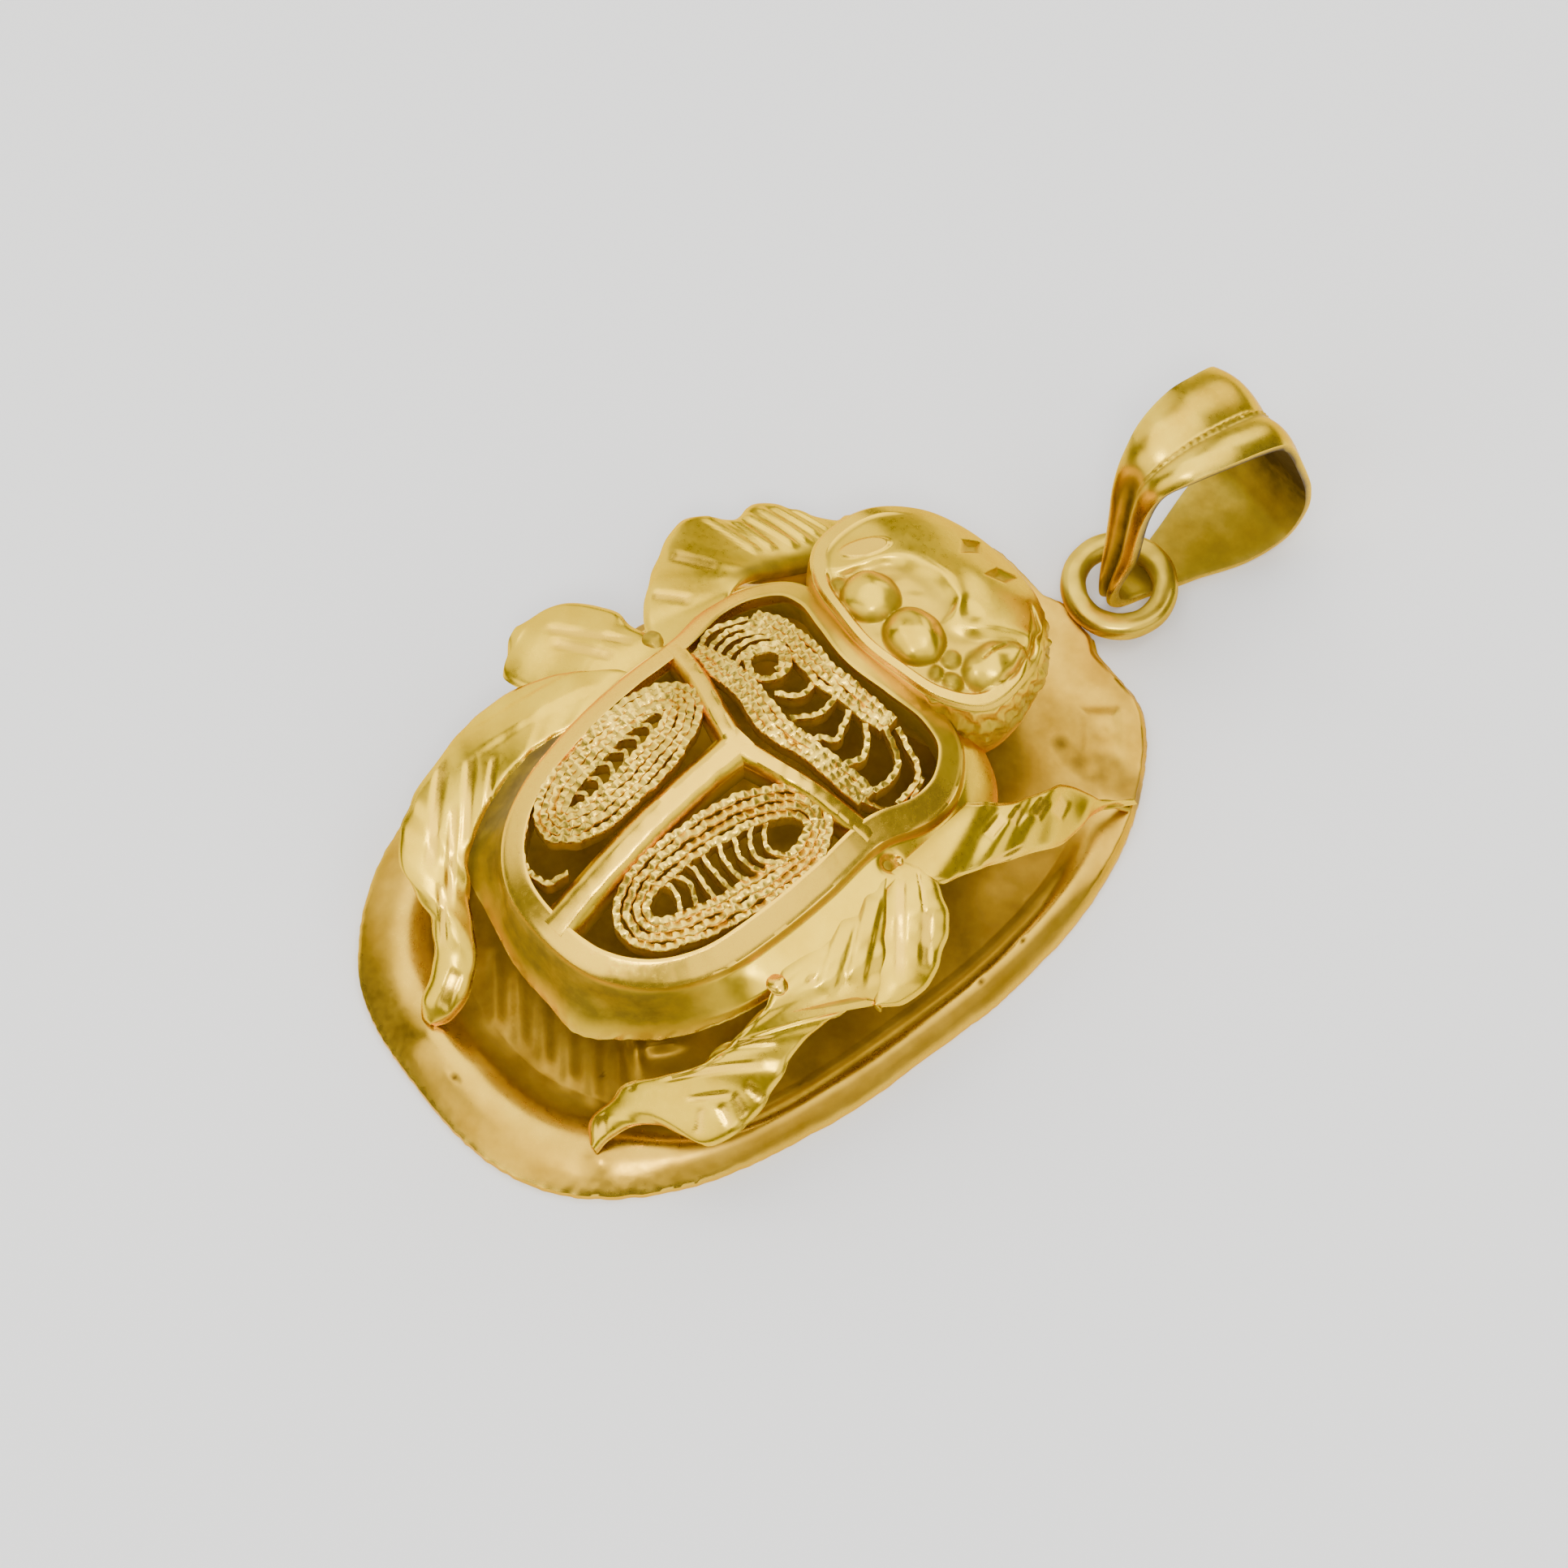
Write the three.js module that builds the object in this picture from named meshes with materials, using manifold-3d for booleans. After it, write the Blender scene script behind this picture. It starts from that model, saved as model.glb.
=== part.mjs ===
// Gold scarab pendant: a stamped oval plate, a hollow scarab with six leaf-like legs on it,
// three filigree coils in the scarab's open cells, a soldered hanging ring and a loose bail.
// Millimetres, +Z up. The origin is the centre of the plate's underside, +Y runs to the head.

import * as THREE from 'three';
import { mergeVertices } from 'three/addons/utils/BufferGeometryUtils.js';
import Module from 'manifold-3d';

const wasm = await Module();
wasm.setup();

// Gap left where two soldered pieces meet
const SOLDER_GAP = 0.2;

// Base plate: a sheet with a raised border, a lower field and a fluted tail
const PLATE_HALF_WIDTH = 9.7;
const PLATE_HALF_LENGTH = 14.9;
const PLATE_FULLNESS_TAIL = 2.7;
const PLATE_FULLNESS_HEAD = 2.3;
const PLATE_EDGE = 0.3;
const PLATE_SHEET = 0.4;
const BORDER_RIDGE = 1.35;
const BORDER_RIDGE_INSET = 1.5;
const BORDER_FOOT_INSET = 2.6;
const BORDER_SHOULDER = 0.78;
const FIELD_TOP = 0.5;
const FLUTE_COUNT = 8;
const FLUTE_FIRST = [-0.8, -11.2];
const FLUTE_STEP = [0.64, 0.45];
const FLUTE_LENGTH = 2.8;
const FLUTE_HEIGHT = 0.28;
const FLUTE_TURN = 54;
const PANEL_CENTRE = [3.9, 12.1];
const PANEL_SIZE = [1.2, 1.2];
const PANEL_HEIGHT = 0.3;

// Hanging ring and the neck of sheet that reaches it
const RING_CENTRE_Y = 16.2;
const RING_HEIGHT = 1.1;
const RING_RADIUS = 1.62;
const RING_WIRE = 0.41;
const NECK_HALF_WIDTH = 1.4;

// Bail: a strip bent to a teardrop that stands in the ring, as y, z and width
const BAIL_SHEET = 0.4;
const BAIL_CROWN = 0.3;
const BAIL_ROUTE = [
  [15.95, 1.4, 0.7], [16.0, 2.6, 1.1], [16.35, 5.1, 1.8], [16.9, 7.9, 2.7], [18.4, 8.95, 3.4],
  [20.3, 8.6, 4.0], [21.7, 7.6, 4.3], [22.7, 4.8, 4.4], [22.95, 2.3, 4.4], [22.2, 0.75, 4.4],
  [20.3, 0.44, 4.3], [18.6, 0.38, 3.2], [17.2, 0.3, 1.5], [16.4, 0.38, 0.8], [16.03, 0.78, 0.7],
];

// Scarab: its place and turn on the plate
const SCARAB_AT = [-0.24, -0.83];
const SCARAB_TURN = 5;

// Body: half of the outline of its rim, mirrored; the crown of its back; the skirt below the rim
const RIM_HALF = [
  [0, -8.9], [2.1, -8.55], [3.7, -7.4], [4.75, -5.6], [5.2, -3.2], [5.3, -0.8],
  [5.2, 1.7], [5.55, 3.6], [5.3, 5.1], [4.3, 6.3], [3.0, 6.5], [1.5, 6.1],
];
const RIM_FRONT = [0, 5.8];
const BODY_TOP = 9.4;
const SIDE_FALL = 2.2;
const SIDE_REACH = 5.25;
const TAIL_FALL = 2.3;
const TAIL_REACH = 8.9;
const FRONT_FALL = 1.25;
const FRONT_REACH = 5.6;
const FRAME_DEPTH = 1.3;
const WALL = 0.45;
const SKIRT_FLARE = 0.5;
const SKIRT_LOW = 3.3;
const SKIRT_RISE = 0.07;
const TAIL_POINT = [1.9, 0.35, 0.9];

// Open cells: the bars between them
const RIM_BAR = 0.75;
const SEPTUM_HALF = 0.68;
const ARM_JUNCTION = -0.05;
const ARM_END = [4.75, 1.5];
const ARM_HALF = 0.42;

// Head: half of its outline, mirrored, with a raised lip, eyes and cheeks
const HEAD_HALF = [[1.5, 5.95], [3.2, 6.45], [4.35, 7.6], [4.3, 9.6], [3.3, 11.3], [1.9, 12.25]];
const HEAD_BACK = [0, 5.75];
const HEAD_FRONT = [0, 12.6];
const HEAD_CENTRE = [0, 9.0];
const HEAD_TOP = 8.7;
const HEAD_SIDE_FALL = 0.9;
const HEAD_FRONT_FALL = 2.3;
const HEAD_LIP = 0.4;
const HEAD_LOW = 4.2;
const EYES = [0.92, 7.15, 8.55, 0.85];
const CHEEKS = [3.0, 8.45, 7.95, 1.05];
const CHEEK_LOBE = 0.55;
const BROW_BEADS = [
  [2.3, 6.95, 8.3, 0.36], [2.75, 7.35, 8.1, 0.38], [2.25, 7.9, 8.3, 0.36], [-2.3, 6.9, 8.3, 0.4],
];
const BROW_CUTS = [[-0.5, 11.2], [0.9, 11.4]];
const BROW_CUT_SIZE = 0.5;

// Legs: each a sheet between two edges, listed from the flank to the foot
const LEG_SHEET = 0.45;
const LEG_CROWN = 0.3;
const LEG_VEIN = 0.22;
const LEGS = {
  rightHind: {
    inner: [
      [4.9, -1.6, 6.3], [5.7, -4.2, 4.9], [5.9, -6.6, 3.4],
      [4.6, -8.8, 2.5], [4.2, -10.2, 2.15], [4.7, -11.7, 1.95],
    ],
    outer: [
      [6.0, 0.6, 6.4], [8.1, -3.0, 4.4], [8.3, -6.2, 3.3],
      [7.9, -8.6, 2.4], [5.8, -10.0, 2.2], [5.3, -11.7, 1.95],
    ],
  },
  rightMiddle: {
    inner: [[5.0, 0.0, 6.6], [6.4, -1.2, 5.7], [8.1, -1.7, 4.7], [9.3, -1.1, 4.5]],
    outer: [[5.0, 2.2, 6.8], [6.6, 2.4, 5.9], [8.3, 1.9, 4.8], [9.5, 0.3, 4.6]],
  },
  rightFront: {
    inner: [[4.9, 5.2, 6.2], [6.2, 6.3, 4.9], [6.6, 8.5, 3.8], [7.4, 9.9, 2.7], [8.4, 11.0, 2.0]],
    outer: [[5.0, 2.0, 6.6], [7.3, 3.6, 4.7], [8.1, 6.6, 3.5], [8.2, 8.9, 2.7], [8.8, 11.0, 2.0]],
  },
  leftHind: {
    inner: [
      [-4.9, -1.4, 6.4], [-6.0, -4.4, 5.4], [-5.5, -7.4, 3.9],
      [-3.7, -9.0, 2.9], [-2.4, -10.5, 2.3], [-1.8, -12.1, 1.95],
    ],
    outer: [
      [-5.0, 0.6, 6.5], [-8.5, -4.2, 4.5], [-8.0, -7.9, 3.5],
      [-6.2, -9.9, 2.6], [-3.8, -10.8, 2.3], [-2.6, -12.4, 1.95],
    ],
  },
  leftMiddle: {
    inner: [[-5.0, -0.4, 6.7], [-6.8, -2.4, 5.8], [-8.8, -2.8, 5.0], [-9.9, -1.7, 4.8]],
    outer: [[-5.0, 1.6, 6.8], [-7.0, 1.9, 5.8], [-8.8, 1.5, 5.1], [-10.0, -0.2, 4.9]],
  },
  leftFront: {
    inner: [[-4.9, 5.2, 6.2], [-6.0, 6.4, 5.2], [-6.2, 7.8, 4.3], [-5.4, 9.6, 3.4], [-4.6, 10.9, 2.7]],
    outer: [[-5.0, 1.8, 6.6], [-8.4, 3.8, 5.0], [-9.3, 6.3, 4.5], [-8.5, 8.7, 3.5], [-5.6, 11.6, 2.7]],
  },
};

// Flanks: the thick shoulder that slopes from the rim to the legs' roots, mirrored to the left
const FLANK_SHEET = 0.9;
const FLANK = {
  inner: [[4.8, -4.4, 6.2], [4.95, -1.0, 6.85], [4.95, 2.0, 6.8], [4.95, 5.2, 6.1]],
  outer: [[6.0, -4.6, 4.8], [7.0, -1.4, 5.55], [7.0, 2.4, 5.6], [6.4, 5.6, 5.0]],
};

// Filigree: each coil a band of wound wire with open arcs across its eye
const COIL_RECESS = 0.35;
const COIL_HEIGHT = 0.6;
const COIL_FULLNESS = 2.3;
const ARC_WIDTH = 0.28;
const ARC_REACH = 0.68;
const ARC_BULGE = 0.1;
const ARC_COUNT = 6;
const COILS = {
  filigree_left: { centre: [-2.6, -3.35], along: 3.4, across: 1.55, turn: 4, bow: 0, band: 0.85 },
  filigree_right: { centre: [2.58, -3.35], along: 3.4, across: 1.55, turn: -4, bow: 0, band: 0.7 },
  filigree_prothorax: { centre: [-0.1, 3.5], along: 4.5, across: 1.45, turn: 90, bow: 0.5, band: 0.7 },
};

// How finely curved forms are divided
const PLATE_STEPS = 48;
const RIM_STEPS = 46;
const HEAD_STEPS = 30;
const LEG_STEPS = 7;
const COIL_STEPS = 22;
const ARC_STEPS = 4;
const BAIL_STEPS = 36;

const satinGold = new THREE.MeshStandardMaterial({ color: 0xd8b850, roughness: 0.36, metalness: 1 });
const plateGold = new THREE.MeshStandardMaterial({ color: 0xcf9f55, roughness: 0.42, metalness: 1 });
const wireGold = new THREE.MeshStandardMaterial({ color: 0xd9b566, roughness: 0.45, metalness: 1 });
const polishedGold = new THREE.MeshStandardMaterial({ color: 0xdba845, roughness: 0.22, metalness: 1 });

const vec = (x, y, z = 0) => new THREE.Vector3(x, y, z);
const mix = THREE.MathUtils.lerp;
const radians = THREE.MathUtils.degToRad;

// Evenly spaced points on a smooth curve through a few given ones
function smooth(points, count, closed = false) {
  const curve = new THREE.CatmullRomCurve3(points.map((p) => vec(...p)), closed, 'centripetal');
  const sampled = curve.getSpacedPoints(closed ? count : count - 1);
  return closed ? sampled.slice(0, count) : sampled;
}

// A closed outline from its right half and the two points on the axis
function mirrored(first, half, last) {
  const left = half.map(([x, y]) => [-x, y]).reverse();
  return last ? [first, ...half, last, ...left] : [first, ...half, ...left];
}

// Unit vectors that point out of a counter-clockwise outline, in plan
function outwardNormals(outline) {
  return outline.map((_, i) => {
    const before = outline[(i + outline.length - 1) % outline.length];
    const after = outline[(i + 1) % outline.length];
    return vec(after.y - before.y, before.x - after.x).normalize();
  });
}

function signedVolume(positions, index) {
  const [a, b, c] = [vec(0, 0), vec(0, 0), vec(0, 0)];
  let volume = 0;
  for (let i = 0; i < index.length; i += 3) {
    a.fromArray(positions, 3 * index[i]);
    b.fromArray(positions, 3 * index[i + 1]);
    c.fromArray(positions, 3 * index[i + 2]);
    volume += a.dot(b.cross(c)) / 6;
  }
  return volume;
}

// A closed skin over a row of rings with equally many points. Its ends are fans, or it closes on itself
function loft(rings, { looped = false } = {}) {
  const count = rings[0].length;
  const points = rings.flat();
  const index = [];
  const spans = looped ? rings.length : rings.length - 1;
  for (let r = 0; r < spans; r += 1) {
    const next = (r + 1) % rings.length;
    for (let i = 0; i < count; i += 1) {
      const j = (i + 1) % count;
      const [a, b, c, d] = [r * count + i, r * count + j, next * count + j, next * count + i];
      index.push(a, b, c, a, c, d);
    }
  }
  if (!looped) {
    [0, rings.length - 1].forEach((r) => {
      const hub = points.length;
      const centre = rings[r].reduce((sum, p) => sum.add(p), vec(0, 0)).divideScalar(count);
      points.push(centre);
      for (let i = 0; i < count; i += 1) {
        const [a, b] = [r * count + i, r * count + ((i + 1) % count)];
        index.push(...(r === 0 ? [hub, b, a] : [hub, a, b]));
      }
    });
  }
  const positions = points.flatMap((p) => p.toArray());
  if (signedVolume(positions, index) < 0) index.reverse();
  const geometry = new THREE.BufferGeometry();
  geometry.setAttribute('position', new THREE.Float32BufferAttribute(positions, 3));
  geometry.setIndex(index);
  return geometry;
}

function toSolid(geometry) {
  const bare = geometry.clone();
  bare.deleteAttribute('normal');
  bare.deleteAttribute('uv');
  const merged = mergeVertices(bare, 1e-5);
  return new wasm.Manifold(new wasm.Mesh({
    numProp: 3,
    vertProperties: new Float32Array(merged.attributes.position.array),
    triVerts: new Uint32Array(merged.index.array),
  }));
}

function toGeometry(solid) {
  const mesh = solid.getMesh();
  const geometry = new THREE.BufferGeometry();
  geometry.setAttribute('position', new THREE.Float32BufferAttribute(mesh.vertProperties, 3));
  geometry.setIndex(new THREE.Uint32BufferAttribute(mesh.triVerts, 1));
  return geometry;
}

const joined = (geometries) => geometries.map(toSolid).reduce((whole, solid) => whole.add(solid));

function piece(name, geometry, material) {
  const mesh = new THREE.Mesh(geometry, material);
  mesh.name = name;
  return mesh;
}

// Plate outline at an angle from the head end: a superellipse, fuller at the tail
function plateOutline(inset) {
  return Array.from({ length: PLATE_STEPS }, (_, i) => {
    const angle = (2 * Math.PI * i) / PLATE_STEPS;
    const [s, c] = [Math.sin(angle), Math.cos(angle)];
    const power = 2 / (c < 0 ? PLATE_FULLNESS_TAIL : PLATE_FULLNESS_HEAD);
    return vec(
      -(PLATE_HALF_WIDTH - inset) * Math.sign(s) * Math.abs(s) ** power,
      (PLATE_HALF_LENGTH - inset) * Math.sign(c) * Math.abs(c) ** power,
    );
  });
}

const atHeight = (outline, z) => outline.map((p) => vec(p.x, p.y, z));

function basePlate() {
  const slope = (BORDER_RIDGE_INSET + BORDER_FOOT_INSET) / 2;
  const slopeTop = mix(BORDER_RIDGE, FIELD_TOP, 0.6);
  const shoulder = BORDER_RIDGE_INSET / 2;
  const shoulderTop = BORDER_RIDGE * BORDER_SHOULDER;
  const top = [
    [0, PLATE_EDGE], [shoulder, shoulderTop], [BORDER_RIDGE_INSET, BORDER_RIDGE],
    [slope, slopeTop], [BORDER_FOOT_INSET, FIELD_TOP],
  ];
  const under = [
    [BORDER_FOOT_INSET + PLATE_SHEET, 0], [slope, slopeTop - PLATE_SHEET],
    [BORDER_RIDGE_INSET, BORDER_RIDGE - PLATE_SHEET], [shoulder, shoulderTop - PLATE_SHEET],
    [PLATE_EDGE, 0], [0, 0],
  ];
  const rings = [...top].reverse().concat([...under].reverse());
  let plate = toSolid(loft(rings.map(([inset, z]) => atHeight(plateOutline(inset), z))));

  const neckLength = RING_CENTRE_Y - PLATE_HALF_LENGTH + BORDER_RIDGE_INSET;
  const neck = new THREE.BoxGeometry(2 * NECK_HALF_WIDTH, neckLength, PLATE_SHEET);
  neck.translate(0, RING_CENTRE_Y - neckLength / 2, RING_HEIGHT - PLATE_SHEET / 2);
  plate = plate.add(toSolid(neck));
  const seat = new THREE.CylinderGeometry(1, 1, 4 * BORDER_RIDGE, 40);
  const seatRadius = RING_RADIUS + RING_WIRE + SOLDER_GAP;
  seat.scale(seatRadius, 1, seatRadius).rotateX(Math.PI / 2).translate(0, RING_CENTRE_Y, RING_HEIGHT);
  plate = plate.subtract(toSolid(seat));

  for (let i = 0; i < FLUTE_COUNT; i += 1) {
    const flute = new THREE.CylinderGeometry(FLUTE_HEIGHT, FLUTE_HEIGHT, FLUTE_LENGTH, 6);
    const [x, y] = FLUTE_FIRST.map((start, axis) => start + i * FLUTE_STEP[axis]);
    plate = plate.add(toSolid(flute.rotateZ(radians(FLUTE_TURN)).translate(x, y, FIELD_TOP)));
  }
  const panel = new THREE.BoxGeometry(...PANEL_SIZE, PANEL_HEIGHT);
  panel.translate(...PANEL_CENTRE, BORDER_RIDGE - PANEL_HEIGHT / 2);
  return toGeometry(plate.add(toSolid(panel)));
}

function hangingRing() {
  const ring = new THREE.TorusGeometry(RING_RADIUS, RING_WIRE, 8, 26);
  return ring.translate(0, RING_CENTRE_Y, RING_HEIGHT);
}

// The bail's strip: a flat inner face and a crowned outer face carried along the teardrop route
function bail() {
  const route = smooth(BAIL_ROUTE, BAIL_STEPS, true);
  const rings = route.map((p, i) => {
    const before = route[(i + route.length - 1) % route.length];
    const after = route[(i + 1) % route.length];
    const out = vec(0, before.y - after.y, after.x - before.x).normalize();
    const half = p.z / 2;
    const section = [
      [-half, 0], [-half, BAIL_SHEET * 0.6], [-half * 0.5, BAIL_SHEET + BAIL_CROWN * half * 0.3],
      [0, BAIL_SHEET + BAIL_CROWN * half * 0.2], [half * 0.5, BAIL_SHEET + BAIL_CROWN * half * 0.3],
      [half, BAIL_SHEET * 0.6], [half, 0],
    ];
    return section.map(([x, lift]) => vec(x, p.x, p.y).addScaledVector(out, lift - BAIL_SHEET / 2));
  });
  return loft(rings, { looped: true });
}

function backHeight(x, y) {
  const along = y < 0 ? TAIL_FALL * (y / TAIL_REACH) ** 2 : FRONT_FALL * (y / FRONT_REACH) ** 2;
  return BODY_TOP - SIDE_FALL * (x / SIDE_REACH) ** 2 - along;
}

// The skirt ends in a ragged point beside the tail
function skirtFlare(x, y, share) {
  const [at, reach, width] = TAIL_POINT;
  const point = y < 0 ? reach * Math.exp(-(((x - at) / width) ** 2)) : 0;
  return (SKIRT_FLARE + point) * share ** 2;
}

const skirtLow = (y) => SKIRT_LOW + SKIRT_RISE * (y + TAIL_REACH);

// Outside rings from the crown down the skirt, then the same inside by the wall
function bodyShell() {
  const rim = smooth(mirrored(RIM_HALF[0], RIM_HALF.slice(1), RIM_FRONT), RIM_STEPS, true);
  const normals = outwardNormals(rim);
  const back = (share, drop) => rim.map((p) => {
    const [x, y] = [p.x * share, p.y * share];
    return vec(x, y, backHeight(x, y) - drop);
  });
  const skirt = (share, inset) => rim.map((p, i) => {
    const out = skirtFlare(p.x, p.y, share) - inset;
    const z = mix(backHeight(p.x, p.y) - (inset ? FRAME_DEPTH : 0), skirtLow(p.y), share);
    return vec(p.x + normals[i].x * out, p.y + normals[i].y * out, z);
  });
  return loft([
    back(0.2, 0), back(0.5, 0), back(0.78, 0), skirt(0, 0), skirt(0.35, 0), skirt(0.7, 0), skirt(1, 0),
    skirt(1, WALL), skirt(0.5, WALL), skirt(0, WALL), back(0.6, FRAME_DEPTH), back(0.2, FRAME_DEPTH),
  ]);
}

function prism(outline, low, high) {
  const shape = new THREE.Shape(outline.map((p) => new THREE.Vector2(p.x, p.y)));
  const solid = new THREE.ExtrudeGeometry(shape, { depth: high - low, bevelEnabled: false });
  return toSolid(solid.translate(0, 0, low));
}

// The three openings: everything inside the rim bar, parted by the septum and the two arms
function cells() {
  const rim = smooth(mirrored(RIM_HALF[0], RIM_HALF.slice(1), RIM_FRONT), RIM_STEPS, true);
  const normals = outwardNormals(rim);
  const inside = rim.map((p, i) => vec(p.x - normals[i].x * RIM_BAR, p.y - normals[i].y * RIM_BAR));
  const [low, high] = [BODY_TOP - TAIL_FALL - SIDE_FALL - FRAME_DEPTH - 1, BODY_TOP + 1];
  const septum = new THREE.BoxGeometry(2 * SEPTUM_HALF, 2 * TAIL_REACH, 3 * high);
  septum.translate(0, ARM_JUNCTION - TAIL_REACH, 0);
  let openings = prism(inside, low, high).subtract(toSolid(septum));
  [1, -1].forEach((side) => {
    const [x, y] = ARM_END;
    const rise = y - ARM_JUNCTION;
    const arm = new THREE.BoxGeometry(Math.hypot(x, rise) * 1.3, 2 * ARM_HALF, 3 * high);
    arm.rotateZ(side * Math.atan2(rise, x));
    arm.translate((side * x * 1.1) / 2, ARM_JUNCTION + (rise * 1.1) / 2, 0);
    openings = openings.subtract(toSolid(arm));
  });
  return openings;
}

function headHeight(x, y) {
  const [cx, cy] = HEAD_CENTRE;
  const forward = Math.max(y - cy, 0) / (HEAD_FRONT[1] - cy);
  return HEAD_TOP - HEAD_SIDE_FALL * ((x - cx) / HEAD_HALF[2][0]) ** 2 - HEAD_FRONT_FALL * forward ** 2;
}

// A domed cap with a raised lip, open below, and what stands on it
function head() {
  const outline = smooth(mirrored(HEAD_BACK, HEAD_HALF, HEAD_FRONT), HEAD_STEPS, true);
  const normals = outwardNormals(outline);
  const [cx, cy] = HEAD_CENTRE;
  const cap = (share, lift) => outline.map((p) => {
    const [x, y] = [mix(cx, p.x, share), mix(cy, p.y, share)];
    return vec(x, y, headHeight(x, y) + lift);
  });
  const wall = (inset, z) => outline.map((p, i) => (
    vec(p.x - normals[i].x * inset, p.y - normals[i].y * inset, z)
  ));
  const shell = toSolid(loft([
    cap(0.3, 0), cap(0.7, 0), cap(0.84, -0.1), cap(0.92, HEAD_LIP), cap(1, HEAD_LIP * 0.5),
    wall(0, HEAD_LOW), wall(WALL, HEAD_LOW), cap(0.88, -2 * WALL), cap(0.4, -2 * WALL),
  ]));

  const bead = (x, y, z, radius, flat = 1) => {
    const ball = new THREE.SphereGeometry(radius, 10, 6);
    return toSolid(ball.scale(1, 1, flat).translate(x, y, z));
  };
  const [eyeX, eyeY, eyeZ, eyeRadius] = EYES;
  const [cheekX, cheekY, cheekZ, cheekRadius] = CHEEKS;
  let whole = shell;
  [1, -1].forEach((side) => {
    whole = whole.add(bead(side * eyeX, eyeY, eyeZ, eyeRadius));
    whole = whole.add(bead(side * cheekX, cheekY, cheekZ, cheekRadius, CHEEK_LOBE));
  });
  BROW_BEADS.forEach((values) => {
    whole = whole.add(bead(...values));
  });
  BROW_CUTS.forEach(([x, y]) => {
    const cut = new THREE.ConeGeometry(BROW_CUT_SIZE, BROW_CUT_SIZE, 3);
    cut.rotateX(-Math.PI / 2).translate(x, y, headHeight(x, y));
    whole = whole.subtract(toSolid(cut));
  });
  return whole;
}

// A leaf of sheet between two edges, crowned across, with a vein cut along it, of even thickness
function leaf({ inner, outer }, sheet, vein) {
  const [near, far] = [smooth(inner, LEG_STEPS), smooth(outer, LEG_STEPS)];
  const section = [[0, 0], [0.3, LEG_CROWN], [0.42, LEG_CROWN - vein], [0.54, LEG_CROWN], [1, 0]];
  const rings = near.map((p, i) => {
    const top = section.map(([share, lift]) => p.clone().lerp(far[i], share).add(vec(0, 0, lift)));
    const under = top.map((q) => vec(q.x, q.y, q.z - sheet)).reverse();
    return [...top, ...under];
  });
  return loft(rings);
}

function scarab() {
  const shell = toSolid(bodyShell());
  const mirror = (edge) => edge.map(([x, y, z]) => [-x, y, z]);
  const leftFlank = { inner: mirror(FLANK.inner), outer: mirror(FLANK.outer) };
  const limbs = Object.values(LEGS).map((edges) => toSolid(leaf(edges, LEG_SHEET, LEG_VEIN)));
  limbs.push(toSolid(leaf(FLANK, FLANK_SHEET, 0)), toSolid(leaf(leftFlank, FLANK_SHEET, 0)));
  const whole = limbs.reduce((sum, limb) => sum.add(limb), shell.add(head()));
  return toGeometry(whole.subtract(cells()));
}

// A flat bar whose middle line is given in plan, sunk below the crown of the back
function sunkBar(line, width, closed) {
  const sides = closed ? outwardNormals(line) : line.map((_, i) => {
    const before = line[Math.max(i - 1, 0)];
    const after = line[Math.min(i + 1, line.length - 1)];
    return vec(after.y - before.y, before.x - after.x).normalize();
  });
  const rings = line.map((p, i) => {
    const corner = (across, lower) => {
      const [x, y] = [p.x + sides[i].x * across, p.y + sides[i].y * across];
      return vec(x, y, backHeight(x, y) - COIL_RECESS - lower);
    };
    const half = width / 2;
    return [corner(-half, 0), corner(half, 0), corner(half, COIL_HEIGHT), corner(-half, COIL_HEIGHT)];
  });
  return loft(rings, { looped: closed });
}

// One coil: an oval band and the arcs that cross its eye, bowed where the cell is kidney-shaped
function coil({ centre, along, across, turn, bow, band }) {
  const place = (side, length) => {
    const bent = side + bow * ((length / along) ** 2 - 0.5);
    const [s, c] = [Math.sin(radians(turn)), Math.cos(radians(turn))];
    return vec(centre[0] + bent * c - length * s, centre[1] + bent * s + length * c);
  };
  const [a, b] = [along - band / 2, across - band / 2];
  const oval = Array.from({ length: COIL_STEPS }, (_, i) => {
    const angle = (2 * Math.PI * i) / COIL_STEPS;
    const [s, c] = [Math.sin(angle), Math.cos(angle)];
    const power = 2 / COIL_FULLNESS;
    return place(b * Math.sign(c) * Math.abs(c) ** power, a * Math.sign(s) * Math.abs(s) ** power);
  });
  const bars = [sunkBar(oval, band, true)];
  for (let i = 0; i < ARC_COUNT; i += 1) {
    const at = mix(-ARC_REACH, ARC_REACH, i / (ARC_COUNT - 1));
    const half = b * Math.sqrt(1 - at ** 2);
    const line = Array.from({ length: ARC_STEPS + 1 }, (_, k) => {
      const t = mix(-1, 1, k / ARC_STEPS);
      return place(half * t, a * (at + ARC_BULGE * (1 - t * t)));
    });
    bars.push(sunkBar(line, ARC_WIDTH, false));
  }
  return toGeometry(joined(bars));
}

const beetle = new THREE.Group();
beetle.position.set(...SCARAB_AT, 0);
beetle.rotation.z = radians(SCARAB_TURN);
beetle.add(piece('scarab', scarab(), satinGold));
Object.entries(COILS).forEach(([name, values]) => {
  beetle.add(piece(name, coil(values), wireGold));
});

const pendant = new THREE.Group();
pendant.add(
  piece('base_plate', basePlate(), plateGold),
  piece('hanging_ring', hangingRing(), polishedGold),
  piece('bail', bail(), polishedGold),
  beetle,
);

export default pendant;
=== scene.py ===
"""Gold filigree scarab pendant: the finish of its plate, scarab, wire coils, ring and bail.

Shapes are worked out in millimetres. The plate's frame is the part's own frame, and the scarab's
frame is turned and shifted a little on the plate, as the real one was soldered on.
"""

import math

import bpy
import numpy as np
from mathutils import Matrix


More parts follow.
